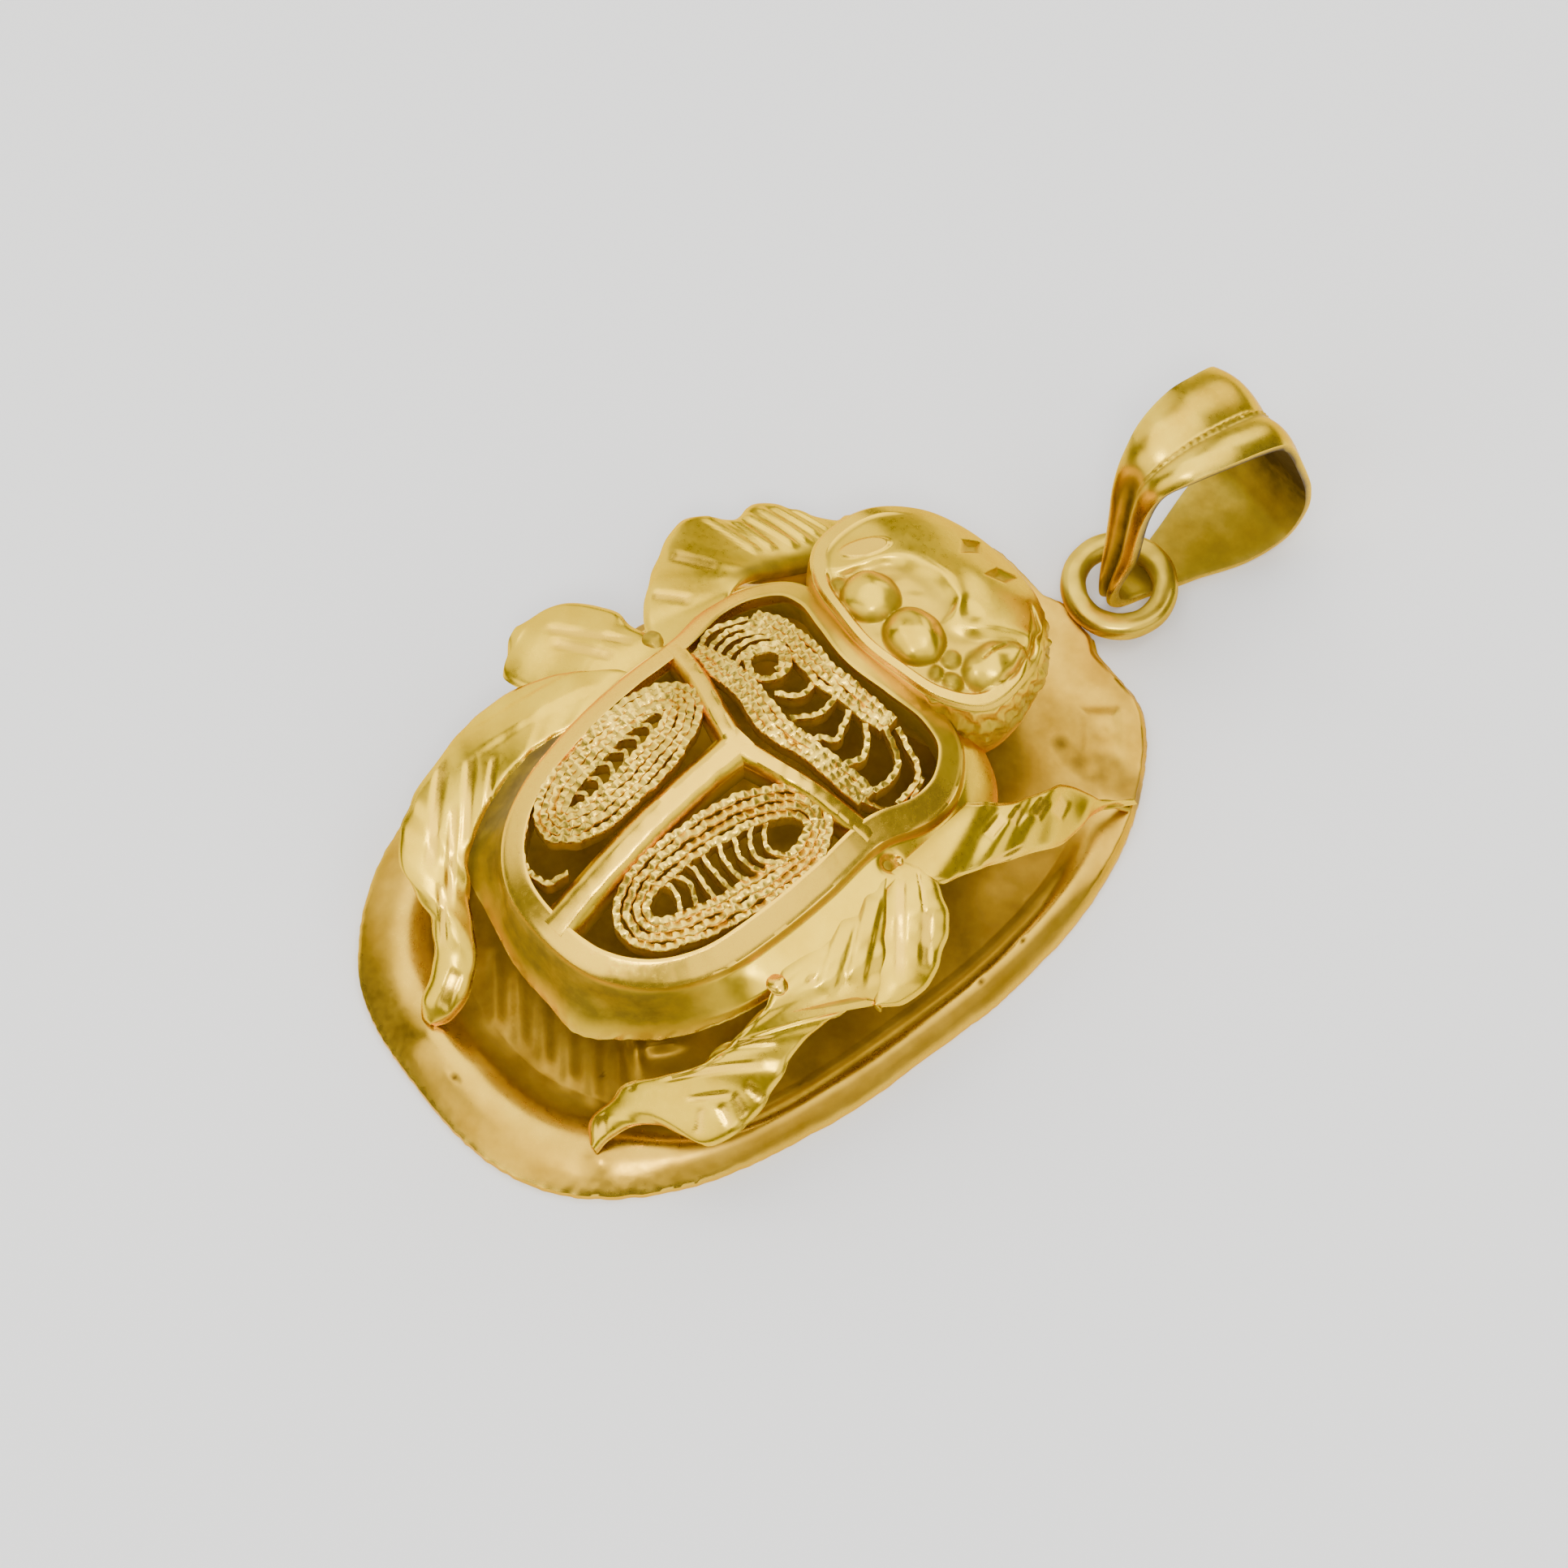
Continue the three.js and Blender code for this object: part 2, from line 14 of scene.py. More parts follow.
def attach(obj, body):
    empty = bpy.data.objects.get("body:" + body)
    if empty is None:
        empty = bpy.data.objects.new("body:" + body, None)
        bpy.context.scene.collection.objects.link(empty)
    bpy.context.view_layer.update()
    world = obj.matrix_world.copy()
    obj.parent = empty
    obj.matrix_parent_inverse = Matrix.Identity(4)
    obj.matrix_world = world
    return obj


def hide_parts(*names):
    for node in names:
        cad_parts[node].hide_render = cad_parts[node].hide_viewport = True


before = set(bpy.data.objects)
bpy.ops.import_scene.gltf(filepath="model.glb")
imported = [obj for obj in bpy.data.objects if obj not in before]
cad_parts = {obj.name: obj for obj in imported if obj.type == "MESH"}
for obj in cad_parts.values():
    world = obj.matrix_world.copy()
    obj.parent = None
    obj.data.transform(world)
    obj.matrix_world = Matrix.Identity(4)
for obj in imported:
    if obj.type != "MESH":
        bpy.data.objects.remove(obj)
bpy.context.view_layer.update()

MM = 0.001

# Camera: where the photograph was taken from
CAMERA_ELEVATION = 65.24
CAMERA_AZIMUTH = 52.81
CAMERA_ROLL = 0.75
CAMERA_DISTANCE = 159.98
CAMERA_LENS = 104.35
CAMERA_SHIFT = (0.0134, 0.0427)

# Base plate. Folds have a centre, a turn and a length; bumps a place, a height and a size
PLATE_HALF_WIDTH = 9.7
PLATE_HALF_LENGTH = 14.9
PLATE_FULLNESS_TAIL = 2.7
PLATE_FULLNESS_HEAD = 2.3
PLATE_HEAD_END = 14.1
NECK_REACH = 0.4
NECK_HALF = 0.9
BORDER_SIDE_SQUEEZE = 0.95
BORDER_TOP = [
    (0.0, 0.3), (0.12, 0.42), (0.6, 0.74), (1.1, 0.93), (1.7, 0.98), (2.3, 0.85), (2.9, 0.62), (3.4, 0.5),
]
BORDER_UNDER = [(0.0, 0.0), (0.3, 0.02), (0.9, 0.35), (1.6, 0.5), (2.2, 0.3), (3.0, 0.0), (3.4, 0.0)]
BORDER_FOOT_INSET = 3.4
FLUTE_COUNT = 6
FLUTE_FIRST = (-1.3, -10.7)
FLUTE_STEP = (1.08, 0.25)
FLUTE_LENGTH = 3.0
FLUTE_HEIGHT = 0.13
FLUTE_WIDTH = 0.28
FLUTE_TURN = 54
FOLDS = [((3.35, -8.15), 60, 0.85), ((3.9, -7.45), 150, 0.7)]
BUMPS = [(-1.2, -13.5, 0.22, 0.75), (-0.3, -13.3, 0.1, 0.5), (6.0, -11.7, 0.12, 0.45)]
PITS = [(7.36, 5.93), (7.9, -4.6), (0.61, -13.8), (3.47, -9.67), (8.9, 2.6), (5.9, 8.9), (8.6, 4.7)]
PANEL_CENTRE = (3.96, 12.07)
PANEL_HALF = 0.6
PANEL_TURN = 53
BURNT_PATCH = (5.3, 11.1)
BURNT_SPOT = (3.45, 10.6)
UNDER_INSET = 3.2

# Hanging ring and bail. The bail's route has y, z and the strip's width
RING_CENTRE = (0.0, 16.2, 1.1)
RING_RADIUS = 1.66
RING_WIRE = 0.46
BAIL_SHEET = 0.36
BAIL_LOWEST = 0.03
BAIL_ROUTE = [
    (15.75, 1.5, 0.7), (16.1, 3.8, 1.3), (16.3, 7.0, 1.65), (16.7, 8.5, 2.1), (17.6, 9.1, 2.9),
    (19.2, 9.1, 3.6), (20.4, 8.72, 3.8), (21.3, 8.27, 3.95), (21.6, 7.87, 4.0), (22.0, 6.9, 4.1),
    (22.3, 5.9, 4.2), (23.0, 3.6, 4.2), (23.05, 2.0, 4.2), (22.4, 0.75, 4.1), (20.9, 0.3, 3.6),
    (18.9, 0.27, 2.3), (17.3, 0.27, 1.3), (16.3, 0.36, 0.8), (15.9, 0.75, 0.7),
]

# Scarab: its place on the plate, the half outline of its rim and the fall of its back.
# Beads have a place, a size and a share of dirt; the tail's point a place, a reach and a width
SCARAB_AT = (-0.24, -0.83)
SCARAB_TURN = 5.0
RIM_HALF = [
    (2.1, -8.55), (3.7, -7.4), (4.75, -5.6), (5.2, -3.2), (5.3, -0.8),
    (5.2, 1.7), (5.55, 3.6), (5.3, 5.1), (4.3, 6.3), (3.0, 6.5), (1.5, 6.1),
]
RIM_TAIL = (0.0, -8.9)
RIM_FRONT = (0.0, 5.8)
BODY_TOP = 9.4
SIDE_FALL, SIDE_REACH = 2.2, 5.25
TAIL_FALL, TAIL_REACH = 2.3, 8.9
FRONT_FALL, FRONT_REACH = 0.95, 5.6
FRAME_DEPTH = 1.3
RIM_BAR = 0.8
SKIRT_FLARE = 0.5
SKIRT_LOW = 3.3
SKIRT_RISE = 0.07
HOLLOW_FLARE = 1.35
FLANK_WIDTH = 1.35
FLANK_STEP = 0.4
FLANK_FALL = 0.35
FLANK_TUCK = 0.3
SHOULDER_FALL = 2.1
TAIL_POINT = (1.9, 0.35, 0.9)
RIVET_PIT = (5.8, 1.6, 6.6)
BEADS = [((5.95, 1.85, 6.62), 0.17, 0.0), ((6.35, -4.1, 6.2), 0.4, 0.0), ((-5.75, 1.35, 6.72), 0.42, 0.6)]
BODY_SHEET = 0.3
TAIL_DENT = (-2.9, -8.3, 5.0)
SEPTUM = [(0.02, 0.35), (0.02, -0.6), (0.0, -4.0), (0.12, -8.5)]
ARM = [(-0.3, -0.15), (1.2, 0.3), (3.0, 0.95), (4.9, 1.55)]

# Head. Lumps have a centre and its height, two half widths, a rise and perhaps a turn
HEAD_HALF = [(1.5, 5.95), (3.2, 6.45), (4.35, 7.6), (4.3, 9.6), (3.3, 11.3), (1.9, 12.25)]
HEAD_BACK = (0.0, 5.75)
HEAD_FRONT = (0.0, 12.6)
HEAD_CENTRE = (0.0, 9.0)
HEAD_TOP = 8.7
HEAD_LOW = 4.2
FACE_DEPTH = 0.26
BROW = [
    (-4.4, 6.2), (-2.9, 7.0), (-2.4, 7.9), (-1.7, 8.8), (-1.1, 9.15), (-0.1, 9.35),
    (0.8, 9.1), (1.2, 8.6), (1.85, 8.7), (2.6, 9.5), (3.3, 10.05), (4.4, 10.4),
]
LUMPS = [
    (-1.25, 7.35, 8.12, 1.15, 1.02, 0.8), (0.8, 7.38, 8.15, 1.2, 1.05, 0.95),
    (2.2, 7.75, 8.0, 0.42, 0.4, 0.42), (2.2, 6.98, 7.95, 0.4, 0.38, 0.42),
    (2.8, 7.25, 7.85, 0.42, 0.4, 0.45), (-2.42, 6.98, 8.0, 0.36, 0.34, 0.36),
    (3.2, 8.75, 7.62, 1.0, 1.35, 0.78, -20),
]
FLAT_CHEEK = (-2.85, 8.55)
SLIT = (3.02, 9.1)
DIMPLE = (1.48, 9.25)
WEDGES = [((-0.7, 11.5), 10), ((0.8, 11.45), -20)]

# Filigree: arcs across the front cell, and the wire's make
FRONT_ARCS = [
    [(-0.2, 3.75), (0.0, 2.95), (-0.6, 2.3)],
    [(0.7, 3.75), (0.95, 2.95), (0.4, 2.05)],
    [(1.4, 3.8), (1.9, 2.85), (1.25, 1.9)],
    [(2.1, 4.0), (2.85, 3.15), (2.6, 2.1)],
    [(2.5, 4.4), (3.7, 3.9), (3.9, 2.6)],
    [(2.7, 4.8), (4.2, 4.4), (4.6, 3.1)],
]
WIRE_STEP = 0.06
WIRE_TALL = 0.7
WIRE_PITCH = 0.36

# Stage: each light's place, size and watts
FLOOR_COLOUR = (0.9, 0.89, 0.87, 1.0)
FLOOR_REACH = 900.0
SKY_COLOUR = (0.95, 0.97, 1.0, 1.0)
SKY_STRENGTH = 0.2
LIGHTS = [
    ("overhead", (-10.0, 45.0, 330.0), 470.0, 1.55),
    ("right_side", (275.0, 20.0, 180.0), 260.0, 0.3),
    ("left_side", (-310.0, 20.0, 160.0), 400.0, 0.62),
    ("tail_side", (20.0, -300.0, 250.0), 360.0, 0.7),
    ("head_side", (-130.0, 330.0, 210.0), 260.0, 0.42),
    ("spark", (118.0, -90.0, 255.0), 46.0, 0.26),
]


def smooth_step(low, high, value):
    """Rises from 0 at low to 1 at high along 3t^2 - 2t^3."""
    t = np.clip((value - low) / (high - low), 0.0, 1.0)
    return t * t * (3.0 - 2.0 * t)


def bell(distance, width):
    """A bell of height 1: e to the minus square of distance over width."""
    return np.exp(-((distance / width) ** 2))


def circle(count):
    """Angles in equal steps once round, without a repeat of the first."""
    return np.linspace(0.0, 2.0 * np.pi, count, endpoint=False)


def joined(x, y, z=0.0):
    """Points from their three coordinates, spread to one grid."""
    return np.stack(np.broadcast_arrays(x, y, z), axis=-1)


def wander(points, size, seed):
    """Smooth unevenness of about -1 to 1: a sum of sine waves in seeded random directions."""
    rng = np.random.default_rng(seed)
    waves = 14
    ways = rng.normal(size=(waves, 3))
    ways /= np.linalg.norm(ways, axis=1, keepdims=True)
    ways *= 2.0 * np.pi / size * rng.uniform(0.6, 1.6, (waves, 1))
    phases = rng.uniform(0.0, 2.0 * np.pi, waves)
    ways = ways[:, :points.shape[-1]]
    return np.sin(points @ ways.T + phases).sum(-1) / math.sqrt(waves)


def smooth_line(points, count, closed=False):
    """A centripetal Catmull-Rom line through given points, cut into equal lengths."""
    p = np.asarray(points, float)
    if closed:
        p = np.vstack([p[-1:], p, p[:2]])
    else:
        p = np.vstack([2 * p[:1] - p[1:2], p, 2 * p[-1:] - p[-2:-1]])
    gap = np.maximum(np.linalg.norm(np.diff(p, axis=0), axis=1) ** 0.5, 1e-6)[:, None]
    before = (p[1:-1] - p[:-2]) / gap[:-1]
    after = (p[2:] - p[1:-1]) / gap[1:]
    slope = before + after - (p[2:] - p[:-2]) / (gap[:-1] + gap[1:])
    start, end = p[1:-2, None], p[2:-1, None]
    leave = (slope[:-1] * gap[1:-1])[:, None]
    arrive = (slope[1:] * gap[1:-1])[:, None]
    t = np.linspace(0.0, 1.0, 24, endpoint=False)[None, :, None]
    fine = (
        (2 * t**3 - 3 * t**2 + 1) * start + (t**3 - 2 * t**2 + t) * leave
        + (3 * t**2 - 2 * t**3) * end + (t**3 - t**2) * arrive
    ).reshape(-1, p.shape[1])
    fine = np.vstack([fine, p[-2:-1]])
    return even(fine, count, closed)


def even(line, count, closed=False):
    """The same line cut into equal lengths. A closed one doesn't repeat its first point."""
    run = np.concatenate([[0.0], np.cumsum(np.linalg.norm(np.diff(line, axis=0), axis=1))])
    at = np.linspace(0.0, run[-1], count + 1)[:-1] if closed else np.linspace(0.0, run[-1], count)
    return np.stack([np.interp(at, run, line[:, k]) for k in range(line.shape[1])], axis=1)


def plan_normals(line, closed):
    """Unit vectors square to a line in plan, to the right of the way it runs."""
    if closed:
        way = np.roll(line, -1, axis=0) - np.roll(line, 1, axis=0)
    else:
        way = np.gradient(line, axis=0)
    side = np.stack([way[:, 1], -way[:, 0]], axis=1)
    return side / np.linalg.norm(side, axis=1, keepdims=True)


def beside(line, side, off):
    """Plan coordinates at distances off a line, along its side vectors."""
    return line[:, :1] + side[:, :1] * off, line[:, 1:2] + side[:, 1:2] * off


def grid_normals(points, wrap_rows, wrap_columns):
    """Unit normals of a grid of points: the cross product of its two directions."""
    def along(axis, wrap):
        if wrap:
            return np.roll(points, -1, axis=axis) - np.roll(points, 1, axis=axis)
        return np.gradient(points, axis=axis)

    normal = np.cross(along(0, wrap_rows), along(1, wrap_columns))
    return normal / np.maximum(np.linalg.norm(normal, axis=2, keepdims=True), 1e-9)


def tube(rings, looped=False, **marks):
    """A closed skin over rows of closed rings. Its ends are fans to a middle point, or it closes on itself.

    marks are values on the same grid: stain for dirt and painted shade, cut for bright-cut gold and painted
    highlights, edge for rubbed edges.
    """
    rows, columns = rings.shape[:2]
    row = np.arange(rows if looped else rows - 1)[:, None]
    column = np.arange(columns)[None, :]
    next_row, next_column = (row + 1) % rows, (column + 1) % columns
    quads = np.stack([
        row * columns + column, row * columns + next_column,
        next_row * columns + next_column, next_row * columns + column,
    ], axis=-1).reshape(-1, 4)
    points = rings.reshape(-1, 3)
    values = {key: np.broadcast_to(value, (rows, columns)).ravel() for key, value in marks.items()}
    tris = np.zeros((0, 3), int)
    if not looped:
        hubs = [len(points), len(points) + 1]
        first = np.arange(columns)
        second = (first + 1) % columns
        low = np.stack([np.full(columns, hubs[0]), second, first], axis=1)
        last = (rows - 1) * columns
        high = np.stack([np.full(columns, hubs[1]), last + first, last + second], axis=1)
        tris = np.vstack([low, high])
        points = np.vstack([points, rings[0].mean(0), rings[-1].mean(0)])
        values = {
            key: np.concatenate([v, [v[:columns].mean(), v[-columns:].mean()]]) for key, v in values.items()
        }
    corners = points[np.vstack([quads[:, :3], quads[:, [0, 2, 3]], tris])]
    volume = np.einsum("ij,ij->", corners[:, 0], np.cross(corners[:, 1], corners[:, 2]))
    if volume < 0:
        quads, tris = quads[:, ::-1], tris[:, ::-1]
    return {"points": points, "quads": quads, "tris": tris, "marks": values}


def put_in_scene(name, data):
    """A new object at the origin."""
    thing = bpy.data.objects.new(name, data)
    bpy.context.scene.collection.objects.link(thing)
    return thing


def make_piece(name, skins, material, sharp=40.0, replaces=()):
    """One mesh from several closed skins, with their marks as point attributes, riding on the part."""
    starts = np.cumsum([0] + [len(s["points"]) for s in skins])
    points = np.vstack([s["points"] for s in skins]) * MM
    quads = np.vstack([s["quads"] + k for s, k in zip(skins, starts)])
    tris = np.vstack([s["tris"] + k for s, k in zip(skins, starts)])
    corners = np.concatenate([quads.ravel(), tris.ravel()]).astype(np.int32)
    loop_starts = np.concatenate([np.arange(len(quads)) * 4, len(quads) * 4 + np.arange(len(tris)) * 3])
    mesh = bpy.data.meshes.new(name)
    mesh.vertices.add(len(points))
    mesh.vertices.foreach_set("co", points.astype(np.float32).ravel())
    mesh.loops.add(len(corners))
    mesh.loops.foreach_set("vertex_index", corners)
    mesh.polygons.add(len(loop_starts))
    mesh.polygons.foreach_set("loop_start", loop_starts.astype(np.int32))
    mesh.update(calc_edges=True)
    for key in ("stain", "cut", "edge"):
        values = [s["marks"].get(key, np.zeros(len(s["points"]))) for s in skins]
        layer = mesh.attributes.new(key, "FLOAT", "POINT")
        layer.data.foreach_set("value", np.concatenate(values).astype(np.float32))
    mesh.shade_smooth()
    mesh.set_sharp_from_angle(angle=math.radians(sharp))
    mesh.materials.append(material)
    piece = put_in_scene(name, mesh)
    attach(piece, "root")
    if replaces:
        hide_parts(*replaces)


def turned(points, degrees, at):
    """Points turned about the vertical and then shifted in plan."""
    c, s = math.cos(math.radians(degrees)), math.sin(math.radians(degrees))
    x, y = points[..., 0], points[..., 1]
    return joined(c * x - s * y + at[0], s * x + c * y + at[1], points[..., 2])


def on_plate(rings):
    """From the scarab's frame to the plate's."""
    return turned(rings, SCARAB_TURN, SCARAB_AT)


# Gold finishes

def principled(name):
    """A new material, and its Principled shader."""
    material = bpy.data.materials.new(name)
    material.use_nodes = True
    return material, material.node_tree.nodes["Principled BSDF"]


def fill(node, sockets):
    """Links each named socket of a node to another node's output, or sets it to a plain value."""
    for key, value in sockets.items():
        if isinstance(value, bpy.types.NodeSocket):
            node.id_data.links.new(value, node.inputs[key])
        else:
            node.inputs[key].default_value = value


def gold(name, base, deep, cut, dirt_and_shade, rough, grain, relief):
    """Gold whose tone drifts over the surface, with bright cuts, painted highlights, rubbed edges, dirt and
    painted shade where the marks say.

    base and deep are the two tones it drifts between, cut the tone of bright-cut places and painted
    highlights, dirt_and_shade the tone of dirt and painted shade.
    rough is the roughness of plain and of cut gold. grain is the size of the fine texture in millimetres,
    and relief how strongly that texture shows.
    """
    material, shader = principled(name)

    def add(kind, output, sockets, **settings):
        node = material.node_tree.nodes.new(kind)
        for key, value in settings.items():
            setattr(node, key, value)
        fill(node, sockets)
        return node.outputs[output]

    place = add("ShaderNodeTexCoord", "Object", {})
    place = add("ShaderNodeMapping", "Vector", {"Scale": (1.0 / MM, 1.0 / MM, 1.0 / MM), "Vector": place})

    def noise(size, detail, roughness=0.55):
        sockets = {"Scale": 1.0 / size, "Detail": detail, "Roughness": roughness, "Vector": place}
        return add("ShaderNodeTexNoise", "Fac", sockets)

    def mark(key):
        return add("ShaderNodeAttribute", "Fac", {}, attribute_name=key)

    def band(value, low, high, bottom=0.0, top=1.0):
        ends = {"From Min": low, "From Max": high, "To Min": bottom, "To Max": top}
        return add("ShaderNodeMapRange", "Result", {**ends, "Value": value})

    def math_node(kind, first, second):
        return add("ShaderNodeMath", "Value", {0: first, 1: second}, operation=kind)

    def blend(share, first, second):
        tones = [(*tone, 1.0) if isinstance(tone, tuple) else tone for tone in (first, second)]
        return add("ShaderNodeMix", 2, {"Factor": share, 6: tones[0], 7: tones[1]}, data_type="RGBA")

    drift = band(noise(1.6, 4.0), 0.35, 0.68)
    speckle = noise(0.22, 3.0)
    # the stain mark, broken up a little by noise, takes the tone toward the colour of dirt and painted shade
    # and makes it less metallic
    stain = math_node("MULTIPLY", mark("stain"), band(noise(0.9, 4.0, 0.6), 0.25, 0.62, 0.7, 1.0))
    bright = mark("cut")
    tone = blend(drift, base, deep)
    tone = blend(bright, tone, cut)
    tone = blend(stain, tone, dirt_and_shade)
    metal = math_node("SUBTRACT", 1.0, math_node("MULTIPLY", stain, 0.7))

    plain_rough, cut_rough = rough
    worn = band(speckle, 0.3, 0.7, plain_rough - 0.03, plain_rough + 0.04)
    smoother = math_node("MULTIPLY", math_node("MAXIMUM", bright, mark("edge")), plain_rough - cut_rough)
    finish = math_node("SUBTRACT", worn, smoother)
    finish = math_node("ADD", finish, math_node("MULTIPLY", stain, 0.16))

    fine = math_node("ADD", math_node("MULTIPLY", noise(grain, 2.0), 0.1), noise(8.0 * grain, 2.0))
    satin = math_node("SUBTRACT", relief, math_node("MULTIPLY", bright, 0.85 * relief))
    bump = add("ShaderNodeBump", "Normal", {"Strength": satin, "Distance": 0.06 * MM, "Height": fine})
    fill(shader, {
        "Base Color": tone, "Metallic": metal, "Roughness": finish, "Normal": bump,
        "Specular IOR Level": 0.12, "Specular Tint": (0.97, 0.72, 0.35, 1.0),
    })
    return material


# each finish: base and deep tones, the tone of bright cuts and painted highlights, the tone of dirt and
# painted shade, plain and cut roughness, grain and relief
satin_gold = gold(
    "satin_gold", (0.9, 0.59, 0.018), (0.77, 0.48, 0.009), (0.98, 0.6, 0.035), (0.07, 0.046, 0.004),
    (0.29, 0.25), 0.09, 0.12,
)
plate_gold = gold(
    "plate_gold", (0.66, 0.38, 0.025), (0.46, 0.245, 0.01), (0.88, 0.58, 0.05), (0.09, 0.043, 0.004),
    (0.31, 0.23), 0.12, 0.2,
)
wire_gold = gold(
    "wire_gold", (0.86, 0.57, 0.05), (0.68, 0.41, 0.02), (0.94, 0.67, 0.1), (0.2, 0.1, 0.008),
    (0.3, 0.22), 0.06, 0.2,
)
polished_gold = gold(
    "polished_gold", (0.84, 0.56, 0.03), (0.68, 0.41, 0.012), (0.92, 0.64, 0.07), (0.05, 0.028, 0.003),
    (0.29, 0.22), 0.12, 0.05,
)


# Base plate

def plate_ring(inset, angle):
    """The plate's outline moved in by inset: a superellipse, fuller at the tail.

    At the head it is cut off softly by a line that rises to the ring in a short neck.
    """
    s, c = np.sin(angle), np.cos(angle)
    power = 2.0 / np.where(c < 0, PLATE_FULLNESS_TAIL, PLATE_FULLNESS_HEAD)
    x = -(PLATE_HALF_WIDTH - inset) * np.sign(s) * np.abs(s) ** power
    y = (PLATE_HALF_LENGTH - inset) * np.sign(c) * np.abs(c) ** power
    end = PLATE_HEAD_END - inset + NECK_REACH * smooth_step(NECK_HALF + 0.7, NECK_HALF - 0.3, np.abs(x))
    return x, 0.5 * (y + end - np.hypot(y - end, 0.3))


def profile(points, value):
    """Height of a smooth profile drawn through a few points."""
    line = smooth_line(points, 200)
    return np.interp(value, line[:, 0], line[:, 1])


def local(x, y, centre, degrees):
    """Distances across and along a mark that is turned in plan."""
    c, s = math.cos(math.radians(degrees)), math.sin(math.radians(degrees))
    dx, dy = x - centre[0], y - centre[1]
    return c * dx + s * dy, c * dy - s * dx


def under_scarab(x, y):
    """How far a plan point lies under the scarab's body: 1 in the middle of an oval, 0 outside it."""
    across, along = local(x, y, SCARAB_AT, SCARAB_TURN)
    return smooth_step(1.05, 0.8, np.hypot(across / 5.6, (along + 1.3) / 8.0))


def plate_relief(x, y):
    """Height added to the plate's top, and how dark it is: flutes, folds, a framed panel, pits and dents;
    painted shade under the scarab, the ground darker round the flutes, and dirt in the burnt patch, the
    burnt spot and the pits.
    """
    flat = joined(x, y)
    height = 0.02 * wander(flat, 6.0, 1) + 0.003 * wander(flat, 1.4, 2)
    # painted shade on the plate under the scarab's body
    dirt_and_shade = 0.45 * under_scarab(x, y)
    for i in range(FLUTE_COUNT):
        centre = (FLUTE_FIRST[0] + i * FLUTE_STEP[0], FLUTE_FIRST[1] + i * FLUTE_STEP[1])
        across, along = local(x, y, centre, FLUTE_TURN)
        window = 1.0 - smooth_step(FLUTE_LENGTH * 0.35, FLUTE_LENGTH * 0.6, np.abs(along))
        height += FLUTE_HEIGHT * bell(across, FLUTE_WIDTH) * window
        # the plate darker along and round each flute
        dirt_and_shade += 0.3 * bell(along, FLUTE_LENGTH * 0.5) * bell(across, 0.5)
    for centre, degrees, length in FOLDS:
        across, along = local(x, y, centre, degrees)
        height += 0.3 * bell(across, 0.22) * bell(along, length)
    across, along = local(x, y, PANEL_CENTRE, PANEL_TURN)
    square = np.maximum(np.abs(across), np.abs(along) * 0.8)
    height += 0.055 * (1.0 - smooth_step(PANEL_HALF - 0.2, PANEL_HALF + 0.2, square))
    height -= 0.012 * bell(np.hypot(across - 0.1, along + 0.1) - 0.25, 0.14)
    across, along = local(x, y, BURNT_PATCH, 20)
    burnt = smooth_step(1.15, 0.5, np.hypot(across / 2.1, along / 0.85))
    dirt_and_shade += burnt * (0.5 + 0.12 * wander(flat, 0.9, 11)) + 0.5 * bell(across - 1.7, 0.4) * bell(along, 0.5)
    dirt_and_shade += 0.7 * bell(np.hypot(x - BURNT_SPOT[0], y - BURNT_SPOT[1]), 0.35)
    height += 0.006 * burnt * wander(flat, 0.5, 12)
    for px, py, rise, size in BUMPS:
        height += rise * bell(np.hypot(x - px, y - py), size)
    rng = np.random.default_rng(7)
    for px, py in PITS:
        near = bell(np.hypot(x - px, y - py), rng.uniform(0.07, 0.12))
        height -= 0.06 * near
        dirt_and_shade += 1.2 * near
    return height, np.clip(dirt_and_shade, 0.0, 1.0)


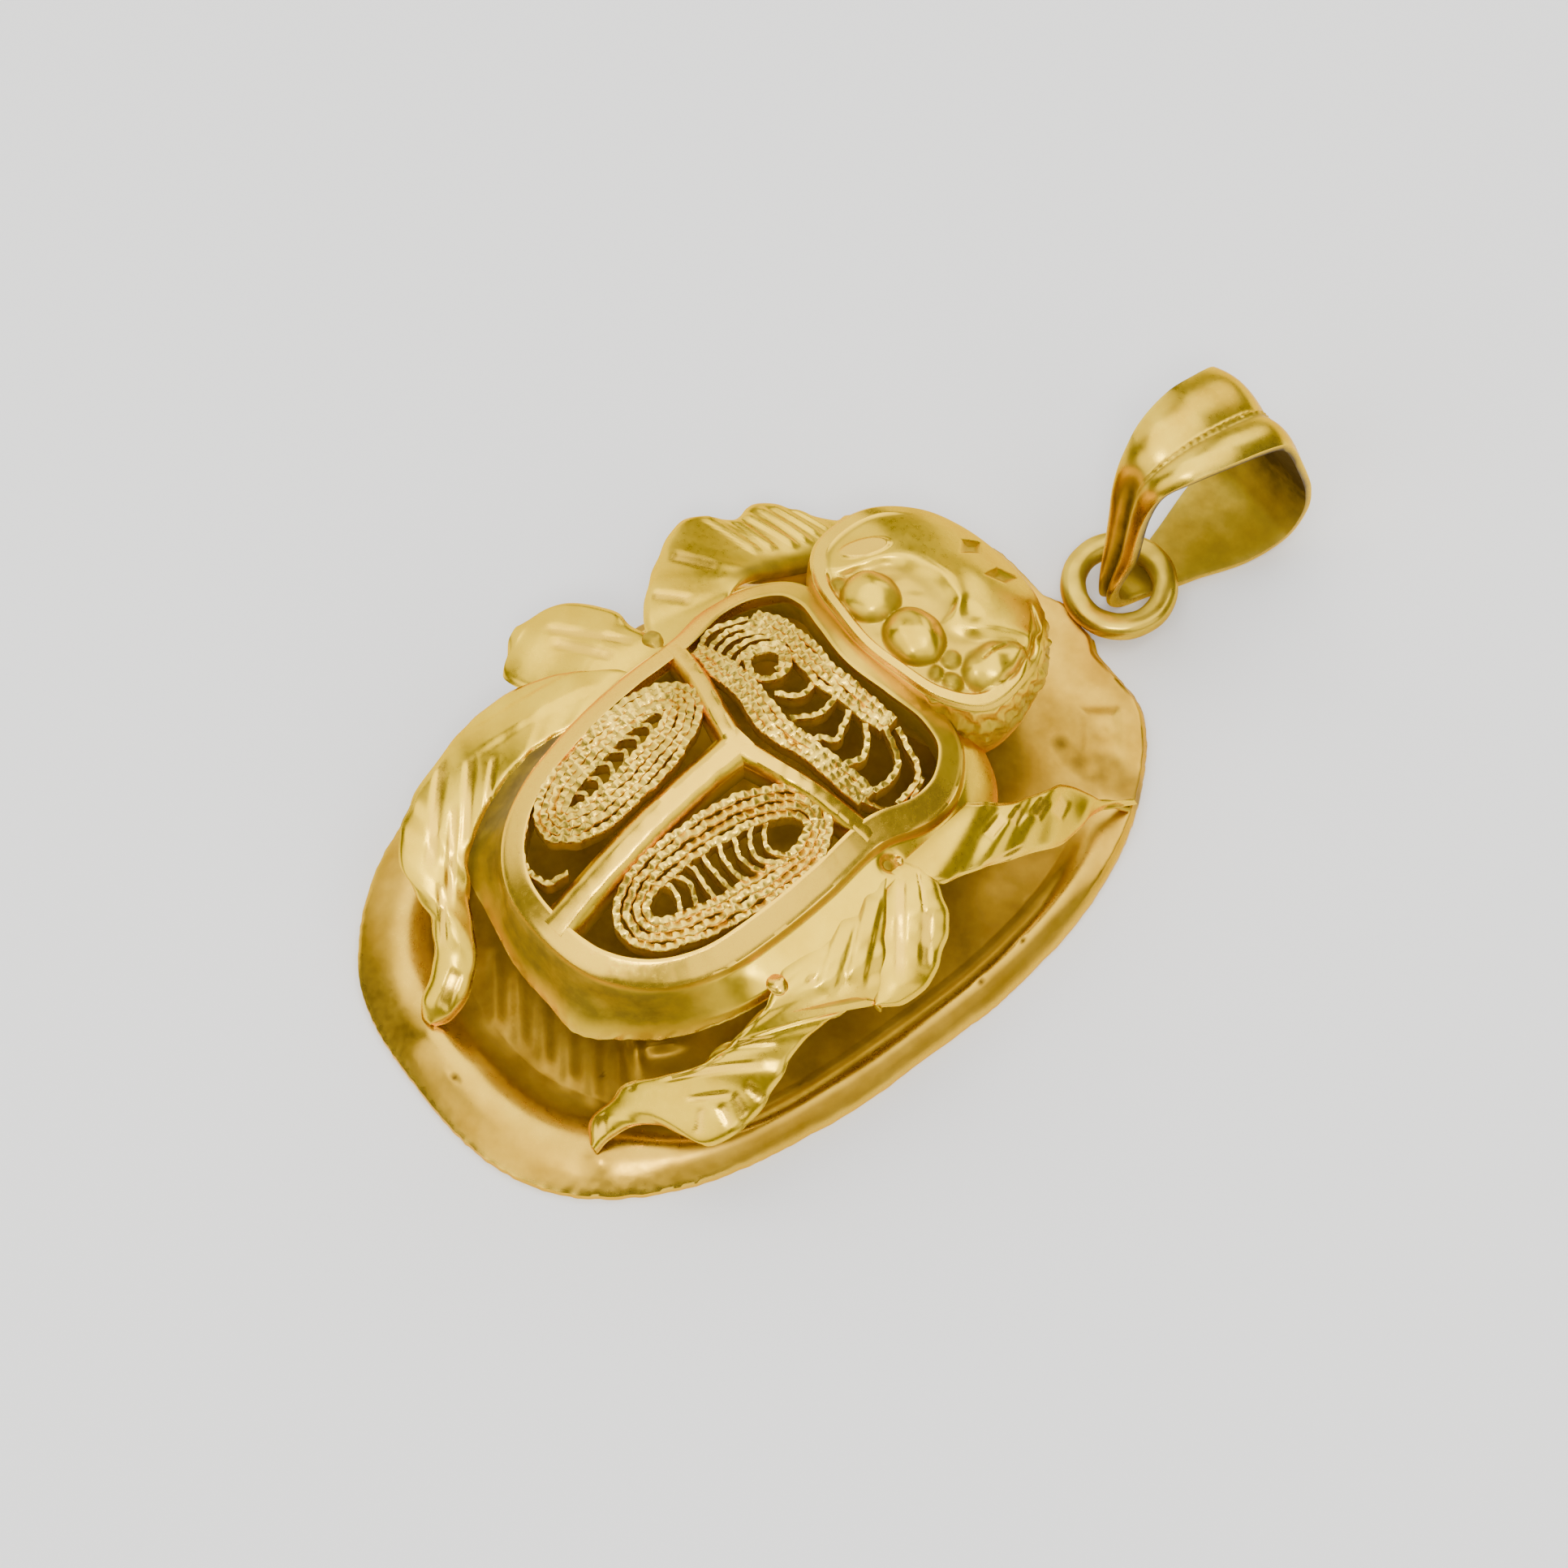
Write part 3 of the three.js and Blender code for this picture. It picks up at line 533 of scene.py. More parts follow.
def base_plate():
    """Rings of the plate's outline from the middle of its top, over the border and edge, to the underside.

    The height at each ring is the border's profile at that inset, and the top carries the relief.
    The border is narrower along the sides than at the tail, and flattens out at the head end.
    """
    angle = circle(480)[None, :]
    field = np.linspace(0.03, 1.0, 78)[:-1, None]
    border = BORDER_FOOT_INSET * np.linspace(1.0, 0.0, 64)[:, None] ** 0.9
    lip = np.zeros((2, 1))
    under = np.linspace(0.0, UNDER_INSET, 18)[:, None]
    floor = np.linspace(1.0, 0.06, 10)[1:, None]

    fx, fy = plate_ring(BORDER_FOOT_INSET, angle)
    ux, uy = plate_ring(UNDER_INSET, angle)
    insets = np.vstack([border, lip, under])
    bx, by = plate_ring(insets, angle)
    x = np.vstack([field * fx, bx, floor * ux])
    y = np.vstack([field * fy, by, floor * uy])
    inset = np.vstack([0.0 * field + BORDER_FOOT_INSET, insets, 0.0 * floor + BORDER_FOOT_INSET])

    top_rows = len(field) + len(border)
    flat = joined(x, y)
    ragged = 0.018 * wander(flat, 0.5, 3) + 0.05 * wander(flat, 6.0, 4)
    near_edge = np.exp(-inset / 0.3)
    reach = np.hypot(x, y)
    stretch = 1.0 + ragged * near_edge / np.maximum(reach, 1.0)
    x, y = x * stretch, y * stretch

    rows = np.arange(len(x))[:, None]
    height, dirt_and_shade = plate_relief(x, y)
    sideways = smooth_step(-11.5, -6.0, y) * smooth_step(1.0, 6.0, x)
    sideways = sideways + smooth_step(-5.0, 0.0, y) * (x < 0)
    inset = np.minimum(inset * (1.0 + BORDER_SIDE_SQUEEZE * sideways), BORDER_FOOT_INSET)
    border_top = profile(BORDER_TOP, inset)
    headward = smooth_step(5.5, 10.0, y)
    flat_top = 0.4 + 0.5 * smooth_step(0.0, 0.35, inset)
    border_top = border_top + (flat_top - border_top) * headward
    z_top = border_top + height * smooth_step(0.0, 0.5, inset)
    z_under = np.maximum(profile(BORDER_UNDER, inset), 0.0)
    z = np.where(rows < top_rows, z_top, z_under)
    z[top_rows] = 0.2
    z[top_rows + 1] = 0.08

    away = np.hypot(x, y - RING_CENTRE[1])
    seat = RING_RADIUS + RING_WIRE - 0.06
    push = np.maximum(seat / np.maximum(away, 1e-6), 1.0)
    x, y = x * push, RING_CENTRE[1] + (y - RING_CENTRE[1]) * push

    # painted shade along the groove at the foot of the border
    groove = bell(inset - 3.1, 0.4) * (0.45 + 0.2 * wander(flat, 2.0, 5)) * (rows < top_rows)
    stain = np.clip(dirt_and_shade * (rows < top_rows) + 0.5 * groove * (1.0 - headward), 0.0, 1.0)
    # painted shade over the floor inside the border and its inner foot, a little uneven, lighter toward the
    # head
    field_shade_strength = 0.6 + 0.12 * wander(flat, 2.6, 8)
    field_shade = smooth_step(2.3, 3.1, inset) * field_shade_strength * (1.0 - 0.6 * headward)
    stain = np.maximum(stain, field_shade * (rows < top_rows))
    # painted shade on the outer slope of the border along the sides
    shaded_outer_slope = smooth_step(0.1, 0.35, inset) * smooth_step(1.6, 1.0, inset)
    shaded_outer_slope = shaded_outer_slope * sideways * (1.0 - headward) * (rows < top_rows)
    stain = np.clip(stain + 0.42 * shaded_outer_slope, 0.0, 1.0)
    rubbed = np.exp(-inset / 0.1) * (rows <= top_rows + 2)
    # a painted highlight along the crest of the border
    crest_highlight = 0.5 * bell(inset - 1.7, 0.6) * (1.0 - 0.6 * headward) * (rows < top_rows)
    crest_highlight = crest_highlight * (0.8 + 0.25 * wander(flat, 1.5, 6)) * (1.0 - stain)
    cut = np.clip(0.7 * rubbed + crest_highlight, 0.0, 1.0)
    return tube(joined(x, y, z), stain=stain, cut=cut, edge=rubbed)


# Ring and bail

def hanging_ring():
    """A ring of thick wire with a slightly flattened round section, a little uneven, as hammered."""
    turn = circle(240)[:, None]
    around = circle(32)[None, :]
    wire = RING_WIRE * (1.0 + 0.015 * np.sin(5.0 * turn + 2.0 * around) + 0.01 * np.sin(11.0 * turn))
    out = RING_RADIUS + wire * np.sign(np.cos(around)) * np.abs(np.cos(around)) ** 0.75
    x = RING_CENTRE[0] + out * np.cos(turn)
    y = RING_CENTRE[1] + out * np.sin(turn)
    z = RING_CENTRE[2] + 0.95 * wire * np.sign(np.sin(around)) * np.abs(np.sin(around)) ** 0.8
    inside = smooth_step(0.1, -1.0, np.cos(around))
    rings = joined(x, y, z)
    # dirt all round, and painted shade on the ring's inner side
    stain = 0.2 + 0.05 * wander(rings, 0.9, 15) + 0.45 * inside
    return tube(rings, looped=True, stain=stain, cut=0.25 * (1.0 - inside))


def bail_face(across):
    """Lift of the bail's outer face over its width: a wide band, a bead line, a groove, a narrow band."""
    wide = 0.14 * np.clip(1.0 - ((across + 0.42) / 0.58) ** 2, 0.0, None)
    slim = 0.1 * np.clip(1.0 - ((across - 0.64) / 0.36) ** 2, 0.0, None)
    return wide + slim + 0.04 * bell(across - 0.2, 0.04)


def bail():
    """A strip carried round a teardrop: a flat inside, and the banded face outside."""
    route = smooth_line(BAIL_ROUTE, 300, closed=True)
    out = plan_normals(route[:, :2], True)
    middle = route[:, :2].mean(0)
    if ((route[:, :2] - middle) * out).sum() < 0:
        out = -out
    face = np.linspace(-1.0, 1.0, 56)
    back = np.linspace(1.0, -1.0, 14)
    across = np.concatenate([face, back])[None, :]
    half = route[:, 2:3] / 2.0
    outside = np.concatenate([np.ones(len(face)), np.zeros(len(back))])[None, :]
    wide = smooth_step(0.8, 1.25, half)
    run = np.linspace(0.0, 1.0, len(route), endpoint=False)[:, None]
    beads = 0.03 * wide * bell(across - 0.2, 0.04) * np.sin(2.0 * np.pi * 90.0 * run)
    crown = bail_face(across) * np.minimum(half, 1.6) * wide
    valley = bell(across + 0.1, 0.35) * outside * (1.0 - wide)
    crown = crown + (0.16 - 0.3 * valley) * (1.0 - wide)
    lift = outside * (BAIL_SHEET * 0.5 + crown + beads) - (1 - outside) * BAIL_SHEET * 0.5
    lift = lift * (1.0 - 0.25 * np.abs(across) ** 6)
    y, z = beside(route, out, lift)
    rings = joined(half * across, y, z)
    rings += 0.006 * wander(rings, 2.5, 21)[..., None]
    rings[..., 2] = np.maximum(rings[..., 2], BAIL_LOWEST)
    # painted shade in the bead line's groove, over the strip's inner face (darker higher up) and in the
    # narrow part's valley
    groove = bell(across - 0.28, 0.06) * outside
    inside_shade = (0.65 + 0.6 * smooth_step(0.5, 5.0, rings[..., 2])) * (1.0 - outside)
    stain = 0.5 * groove * wide + inside_shade + 0.95 * valley
    edge = bell(1.0 - np.abs(across), 0.06)
    return tube(rings, looped=True, stain=stain, edge=edge, cut=0.5 * edge)


# Scarab body

def back_height(x, y):
    """Height of the domed back: a paraboloid, steeper to the sides and the tail."""
    along = np.where(y < 0, TAIL_FALL * (y / TAIL_REACH) ** 2, FRONT_FALL * (y / FRONT_REACH) ** 2)
    return BODY_TOP - SIDE_FALL * (x / SIDE_REACH) ** 2 - along


def mirrored(first, half, last):
    """A closed outline from its right half and the two points on its axis."""
    left = [(-x, y) for x, y in reversed(half)]
    return [first, *half, last, *left]


def body_band():
    """The rim and the skirt as one section carried round the rim's outline.

    The section rises on the cell's wall, crosses the flat rim, runs down the outside and returns inside.
    Outside, at the tail it is a deep coved skirt with a ragged edge, beside the left hind leg a wide cove,
    and at the flanks a nearly level strip that the legs spring from. At the shoulders the strip falls away.
    """
    rim = smooth_line(mirrored(RIM_TAIL, RIM_HALF, RIM_FRONT), 640, closed=True)
    out = plan_normals(rim, True)
    x, y = rim[:, :1], rim[:, 1:2]
    top = back_height(x, y)
    right = smooth_step(-0.5, 0.5, x)
    flank = right * smooth_step(-7.2, -3.9, y) + (1.0 - right) * smooth_step(-3.2, -0.8, y)
    shoulder = smooth_step(4.2, 6.0, y)
    hollow = (1.0 - right) * smooth_step(-8.7, -6.6, y) * (1.0 - flank)
    point = TAIL_POINT[1] * bell(x - TAIL_POINT[0], TAIL_POINT[2]) * (y < 0)
    flare = SKIRT_FLARE + point + HOLLOW_FLARE * hollow
    low = SKIRT_LOW + SKIRT_RISE * (y + TAIL_REACH) + 0.5 * hollow

    wall_up = np.linspace(0.0, 1.0, 8)[None, :-1]
    across = np.linspace(0.0, 1.0, 12)[None, :]
    down = np.linspace(0.0, 1.0, 40)[None, 1:]
    ones = np.ones_like(x)
    flank_down = FLANK_STEP * smooth_step(0.0, 0.12, down) + FLANK_FALL * down
    flank_down = flank_down + FLANK_TUCK * smooth_step(0.85, 1.0, down)
    flank_down = flank_down + SHOULDER_FALL * shoulder * down**1.5
    cove_off = flare * down**2.2 - 0.05 * bell(down - 0.12, 0.1)
    skirt_off = cove_off * (1.0 - flank) + FLANK_WIDTH * down * flank
    skirt_z = top - (down * (top - low) * (1.0 - flank) + flank_down * flank)
    slope_off, slope_z = np.gradient(skirt_off, axis=1), np.gradient(skirt_z, axis=1)
    slope = np.hypot(slope_off, slope_z)
    inner_off = (skirt_off + BODY_SHEET * slope_z / slope)[:, :4:-2]
    inner_z = (skirt_z - BODY_SHEET * slope_off / slope)[:, :4:-2]
    rim_off = ones * (-RIM_BAR * (1.0 - across))
    wall_off = ones * (-RIM_BAR + 0.0 * wall_up)
    wall_z = top + 0.15 - FRAME_DEPTH * (1.0 - wall_up)

    offset = np.hstack([wall_off, rim_off, skirt_off, inner_off])
    px, py = beside(rim, out, offset)
    first_rim, first_skirt = wall_off.shape[1], wall_off.shape[1] + rim_off.shape[1]
    first_inner = first_skirt + skirt_off.shape[1]
    rim_z = back_height(px[:, first_rim:first_skirt], py[:, first_rim:first_skirt])
    rim_z = rim_z - 0.05 * np.abs(2.0 * across - 1.0) ** 8
    rings = joined(px, py, np.hstack([wall_z, rim_z, skirt_z, inner_z]))

    place = np.arange(offset.shape[1])[None, :]
    on_rim = (place >= first_rim) & (place < first_skirt)
    on_skirt = (place >= first_skirt) & (place < first_inner)
    run = np.clip((place - first_skirt + 1) / skirt_off.shape[1], 0.0, 1.0) * on_skirt
    normals = grid_normals(rings, True, True)
    if normals[:, first_rim + 5, 2].mean() < 0:
        normals = -normals
    facets = 0.01 * np.abs(((x * 0.9 + y * 1.1) % 1.4) - 0.7)
    relief = facets * on_rim + 0.015 * wander(rings, 2.8, 31) * on_skirt
    ragged = 0.05 * wander(rings, 0.6, 32) * bell(1.0 - run, 0.08) * on_skirt * (1.0 - flank)
    relief = relief - 0.16 * bell(np.linalg.norm(rings - np.array(TAIL_DENT), axis=2), 0.55)
    pit = bell(np.linalg.norm(rings - np.array(RIVET_PIT), axis=2), 0.26)
    relief = relief - 0.45 * pit * on_skirt
    rings = rings + relief[..., None] * normals
    rings[..., 2] += ragged

    # painted shade down the skirt, fading at its flared lower edge except in the cove; painted shade inside
    # the sheet, in the rivet pit, in a line just under the rim and down the cell's wall
    unshaded_edge = 0.75 * smooth_step(0.7, 0.95, run) * (1.0 - hollow)
    shade = smooth_step(0.05, 0.2, run) * (1.0 - unshaded_edge) * (1.0 - flank)
    stain = 0.85 * shade * on_skirt + 0.6 * (place >= first_inner) + 0.95 * pit
    stain = stain + 0.55 * bell(run - 0.05, 0.035) * on_skirt + 0.7 * (place < first_rim - 1)
    edge = bell(1.0 - run, 0.06) * on_skirt
    # the rim darker and less bright toward the front, by the head
    front = smooth_step(4.6, 5.6, y)
    stain = np.clip(stain + 0.2 * front * on_rim, 0.0, 1.0)
    cut = (0.95 - 0.6 * front) * on_rim + 0.5 * edge
    return tube(on_plate(rings), looped=True, stain=stain, cut=cut, edge=edge)


def divider(points, half, flare_start, flare_end):
    """A bar between two cells: a roof-topped section carried along a line, wider where it meets others."""
    line = smooth_line(points, 90)
    side = plan_normals(line, False)
    run = np.linalg.norm(line - line[0], axis=1)[:, None]
    left = np.linalg.norm(line - line[-1], axis=1)[:, None]
    width = half + flare_start * np.exp(-run / 0.55) + flare_end * np.exp(-left / 0.45)
    section = np.array([
        (-1.0, -1.3), (-1.0, -0.42), (-0.97, -0.3), (-0.62, -0.06), (-0.5, 0.0), (-0.2, 0.02),
        (0.2, 0.02), (0.5, 0.0), (0.62, -0.06), (0.97, -0.3), (1.0, -0.42), (1.0, -1.3),
    ])
    across = width * section[None, :, 0]
    x, y = beside(line, side, across)
    z = back_height(line[:, :1], line[:, 1:2]) + section[None, :, 1]
    flat = (np.abs(section[:, 0]) < 0.6)[None, :]
    rings = joined(x, y, z)
    rings[..., 2] += 0.012 * wander(rings, 0.9, 41) * flat
    # painted shade low on the bar's sides, down in the cells
    deep = smooth_step(-0.35, -1.2, section[:, 1])[None, :]
    return tube(on_plate(rings), cut=0.9 * flat, stain=0.75 * deep)


def bead(at, size, dirt_and_shade):
    """A blob of solder or a rivet's end: a flattened ball of rings from its top to its foot."""
    fall = np.linspace(0.05, np.pi - 0.05, 20)[:, None]
    around = circle(28)[None, :]
    ball = joined(np.sin(fall) * np.cos(around), np.sin(fall) * np.sin(around), np.cos(fall))
    ball = ball * np.array([1.0, 0.85, 0.6]) * (1.0 + 0.06 * wander(ball, 1.2, 45))[..., None]
    return tube(on_plate(np.array(at) + size * ball), stain=dirt_and_shade, cut=0.7 * (1.0 - dirt_and_shade))


def scarab_body():
    """The band, the bar between the wing cases, an arm to each side behind the head, and the beads."""
    septum = divider(SEPTUM, 0.62, 0.2, 0.15)
    arms = [divider([(side * x, y) for x, y in ARM], 0.42, 0.25, 0.1) for side in (1.0, -1.0)]
    return [body_band(), septum, *arms, *(bead(*b) for b in BEADS)]


# Head

def head_dome(x, y):
    """Height of the head before its carving: it falls to the sides and, faster, to the front."""
    forward = np.maximum(y - HEAD_CENTRE[1], 0.0) / (HEAD_FRONT[1] - HEAD_CENTRE[1])
    return HEAD_TOP - 0.9 * (x / 4.35) ** 2 - 2.3 * forward**2


def head_relief(x, y):
    """Height of the head's top, with its bright places and its darker ones: painted shade in lines and
    hollows, and a darker sunk face.

    The dome, sunk behind the uneven line of the brow; balls, a cheek and beads as rounded caps that run
    softly into the face; a flat cheek on the left; a dimple and two triangular cuts in the forehead.
    """
    flat = joined(x, y)
    brow = profile(BROW, x) + 0.1 * wander(flat, 1.6, 57)
    face = smooth_step(0.1, -0.4, y - brow)
    z = head_dome(x, y) - FACE_DEPTH * smooth_step(0.4, -0.4, y - brow)
    z = z + 0.03 * wander(flat, 2.6, 51) + 0.015 * wander(flat, 0.8, 53) * face
    z = z + (0.06 + 0.035 * wander(flat, 1.8, 56)) * bell(y - brow - 0.45, 0.4)
    # painted shade in a line just inside the face along the brow; the sunk face darker all over
    stain = 0.3 * bell(y - brow + 0.25, 0.2) + 0.25 * face
    cut = 0.3 * face

    def cap(cx, cy, cz, rx, ry, rz, turn=0.0):
        across, along = local(x, y, (cx, cy), turn)
        inside = 1.0 - (across / rx) ** 2 - (along / ry) ** 2
        return cz + rz * np.sign(inside) * np.sqrt(np.abs(inside))

    hammered = 0.05 * wander(flat, 1.1, 52)
    for lump in LUMPS:
        rise = cap(*lump) + hammered - z
        inside = smooth_step(-0.05, 0.1, rise)
        # painted shade round the foot of each lump
        stain = np.maximum(stain * (1.0 - 0.8 * inside), 0.75 * bell(rise - 0.12, 0.22))
        cut = cut * (1.0 - inside)
        z = z + 0.5 * (rise + np.hypot(rise, 0.07))
    across, along = local(x, y, FLAT_CHEEK, -33)
    cheek = smooth_step(1.0, 0.75, np.hypot(across / 0.45, along / 1.0))
    z = z + 0.08 * cheek
    cut = np.maximum(cut, 0.8 * cheek)
    across, along = local(x, y, SLIT, -3)
    slit = bell(across, 0.05) * (1.0 - smooth_step(0.45, 0.6, np.abs(along)))
    dimple = np.hypot(x - DIMPLE[0], y - DIMPLE[1])
    z = z - 0.1 * slit - 0.16 * bell(dimple, 0.4)
    # painted shade in the slit and the dimple
    stain = np.maximum(stain, np.maximum(0.6 * slit, 0.3 * bell(dimple, 0.3)))
    for centre, turn in WEDGES:
        across, along = local(x, y, centre, turn)
        wedge = np.clip(0.42 - np.abs(across) - 0.6 * np.abs(along - 0.1), 0.0, 0.26)
        z = z - 0.9 * wedge
        # painted shade in the triangular cuts
        stain = np.maximum(stain, 1.8 * wedge)
    return z, np.clip(stain, 0, 1), cut


def head():
    """A cap over rings of the head's outline, from its middle to the lip, then down the wall and inside.

    The lip stands round the back and the left. On the right the sheet is torn and the wall crushed.
    """
    outline = smooth_line(mirrored(HEAD_BACK, HEAD_HALF, HEAD_FRONT), 300, closed=True)
    out = plan_normals(outline, True)

    def from_middle(share):
        return [c + share * (outline[:, k] - c) for k, c in enumerate(HEAD_CENTRE)]

    share = np.concatenate([np.linspace(0.02, 0.86, 96), np.linspace(0.87, 1.0, 24)])[:, None]
    x, y = from_middle(share)
    z, stain, cut = head_relief(x, y)
    backward = smooth_step(10.4, 9.0, y)
    leftward = smooth_step(-1.8, -3.2, x) * smooth_step(11.2, 10.0, y)
    lipped = np.maximum(backward, leftward)
    lip = smooth_step(0.84, 0.89, share) * (1.0 - 0.35 * smooth_step(0.96, 1.0, share)) * lipped
    z = z * (1.0 - lip) + (head_dome(x, y) + 0.06) * lip
    z = z - 0.12 * smooth_step(0.965, 1.0, share)
    # painted shade in a line at the inner foot of the lip
    stain = np.maximum(stain * (1.0 - lip), 0.4 * bell(share - 0.845, 0.018) * lipped)
    cut = np.maximum(cut * (1.0 - lip), 0.5 * lip)
    torn = bell(share - 0.9 - 0.02 * wander(np.stack([x, y], axis=-1), 1.2, 58), 0.02)
    torn = torn * smooth_step(2.0, 2.9, x) * smooth_step(8.4, 9.3, y)
    z = z - 0.18 * torn
    # painted shade along the tear
    stain = np.maximum(stain, 0.65 * torn)

    down = np.linspace(0.0, 1.0, 30)[1:, None]
    inside = np.linspace(1.0, 0.0, 8)[:, None]
    edge_z = z[-1:]
    run = np.linspace(0.0, 1.0, outline.shape[0])[None, :]
    right = smooth_step(1.5, 3.5, outline[:, 0])[None, :]
    crush = np.stack([26.0 * run + 0.0 * down, 3.0 * down + 0.0 * run], axis=-1)
    folds = right * bell(down - 0.35, 0.35) * (0.1 * wander(crush, 0.55, 54) + 0.07 * wander(crush, 1.6, 55))
    wall = 0.18 * np.sin(np.pi * down) - 0.12 * down + folds
    wx = outline[:, 0] + out[:, 0] * wall
    wy = outline[:, 1] + out[:, 1] * wall
    wz = edge_z + (HEAD_LOW - edge_z) * down
    ix = outline[:, 0] - out[:, 0] * 0.5 + 0.0 * inside
    iy = outline[:, 1] - out[:, 1] * 0.5 + 0.0 * inside
    iz = HEAD_LOW + (edge_z - 1.0 - HEAD_LOW) * (1.0 - inside)
    rx, ry = from_middle(np.array([0.6, 0.2])[:, None])
    rz = 6.4 + 0.0 * rx
    x, y, z = np.vstack([x, wx, ix, rx]), np.vstack([y, wy, iy, ry]), np.vstack([z, wz, iz, rz])
    rings = joined(x, y, z)
    back = smooth_step(7.2, 6.2, outline[:, 1])[None, :]
    # painted shade down the wall, heavier on the crushed right side and over the back wall, and inside the
    # head
    wall_stain = (0.25 + 0.35 * right) * np.sin(np.pi * down) + 0.5 * back * smooth_step(0.0, 0.12, down)
    stain = np.vstack([stain, wall_stain + 0.0 * run, 0.7 + 0.0 * ix, 0.7 + 0.0 * rx])
    cut = np.vstack([cut, np.zeros((len(stain) - len(cut), cut.shape[1]))])
    return tube(on_plate(rings), stain=stain, cut=cut)


# Legs

def stroke(x, y, start, end, half):
    """1 inside a graver's stroke between two plan points and 0 outside, with soft sides and tapered ends."""
    way = np.array(end) - np.array(start)
    length = np.linalg.norm(way)
    way = way / length
    run = (x - start[0]) * way[0] + (y - start[1]) * way[1]
    off = (y - start[1]) * way[0] - (x - start[0]) * way[1]
    window = smooth_step(-0.05, 0.15 * length, run) * (1.0 - smooth_step(0.8 * length, length + 0.05, run))
    return (1.0 - smooth_step(0.6 * half, 1.3 * half, np.abs(off))) * window


def leaf(inner, outer, strokes, ridges=(), crown=0.3, peak=0.5, fold_shade=0.0, seed=60):
    """A sheet between two edges, crowned across, with strokes cut into it and rolled, slightly uneven edges.

    A point is the mix of the two edges at the same share of their lengths, lifted by the crown, half a
    sine wave that is highest at peak and fades to nothing at the root. Strokes are sunk and ridges are
    raised, both placed in the scarab's plan. fold_shade is painted shade along the inner edge, where the
    sheet turns down beside the body; there is painted shade too along the root and over the underside.
    """
    rows, columns = 150, 58
    near, far = smooth_line(inner, rows), smooth_line(outer, rows)
    near = near + 0.03 * wander(near, 1.3, seed + 2)[:, None]
    far = far + 0.03 * wander(far, 1.3, seed + 2)[:, None]
    across = 0.5 - 0.5 * np.cos(np.pi * np.linspace(0.0, 1.0, columns))[None, :]
    run = np.linspace(0.0, 1.0, rows)[:, None]
    base = near[:, None] + (far - near)[:, None] * across[..., None]
    arch = np.sin(np.pi * across ** (math.log(0.5) / math.log(peak))) ** 0.8
    base[..., 2] += crown * smooth_step(0.0, 0.3, run) * arch
    normals = grid_normals(base, False, False)
    if normals[..., 2].mean() < 0:
        normals = -normals
    width = np.linalg.norm(far - near, axis=1)[:, None]
    rim = np.minimum(across, 1.0 - across) * width
    edge = bell(rim, 0.16)
    relief = 0.008 * wander(base, 3.0, seed) - 0.1 * edge
    for start, end, half, rise in ridges:
        relief = relief + rise * stroke(base[..., 0], base[..., 1], start, end, half)
    cuts = np.zeros_like(relief)
    for start, end, half in strokes:
        cuts = np.maximum(cuts, stroke(base[..., 0], base[..., 1], start, end, half))
    relief = relief - 0.04 * cuts
    top = base + relief[..., None] * normals
    under = base - (LEG_SHEET * (1.0 + run) * (1.0 - 0.5 * edge))[..., None] * normals
    rings = np.concatenate([top, under[:, ::-1]], axis=1)
    bare = np.zeros_like(cuts)
    cut = np.concatenate([np.clip(0.9 * cuts + 0.35 * edge, 0, 1), bare], axis=1)
    # painted shade along the turned-down inner edge, along the root and over the underside
    turned_in_shade = fold_shade * smooth_step(peak, 0.5 * peak, across) * smooth_step(0.1, 0.3, run)
    stain = np.concatenate([bare + np.maximum(0.3 * bell(run, 0.03), turned_in_shade), bare + 0.5], axis=1)
    return tube(on_plate(rings), cut=cut, stain=stain, edge=np.concatenate([0.6 * edge, bare], axis=1))


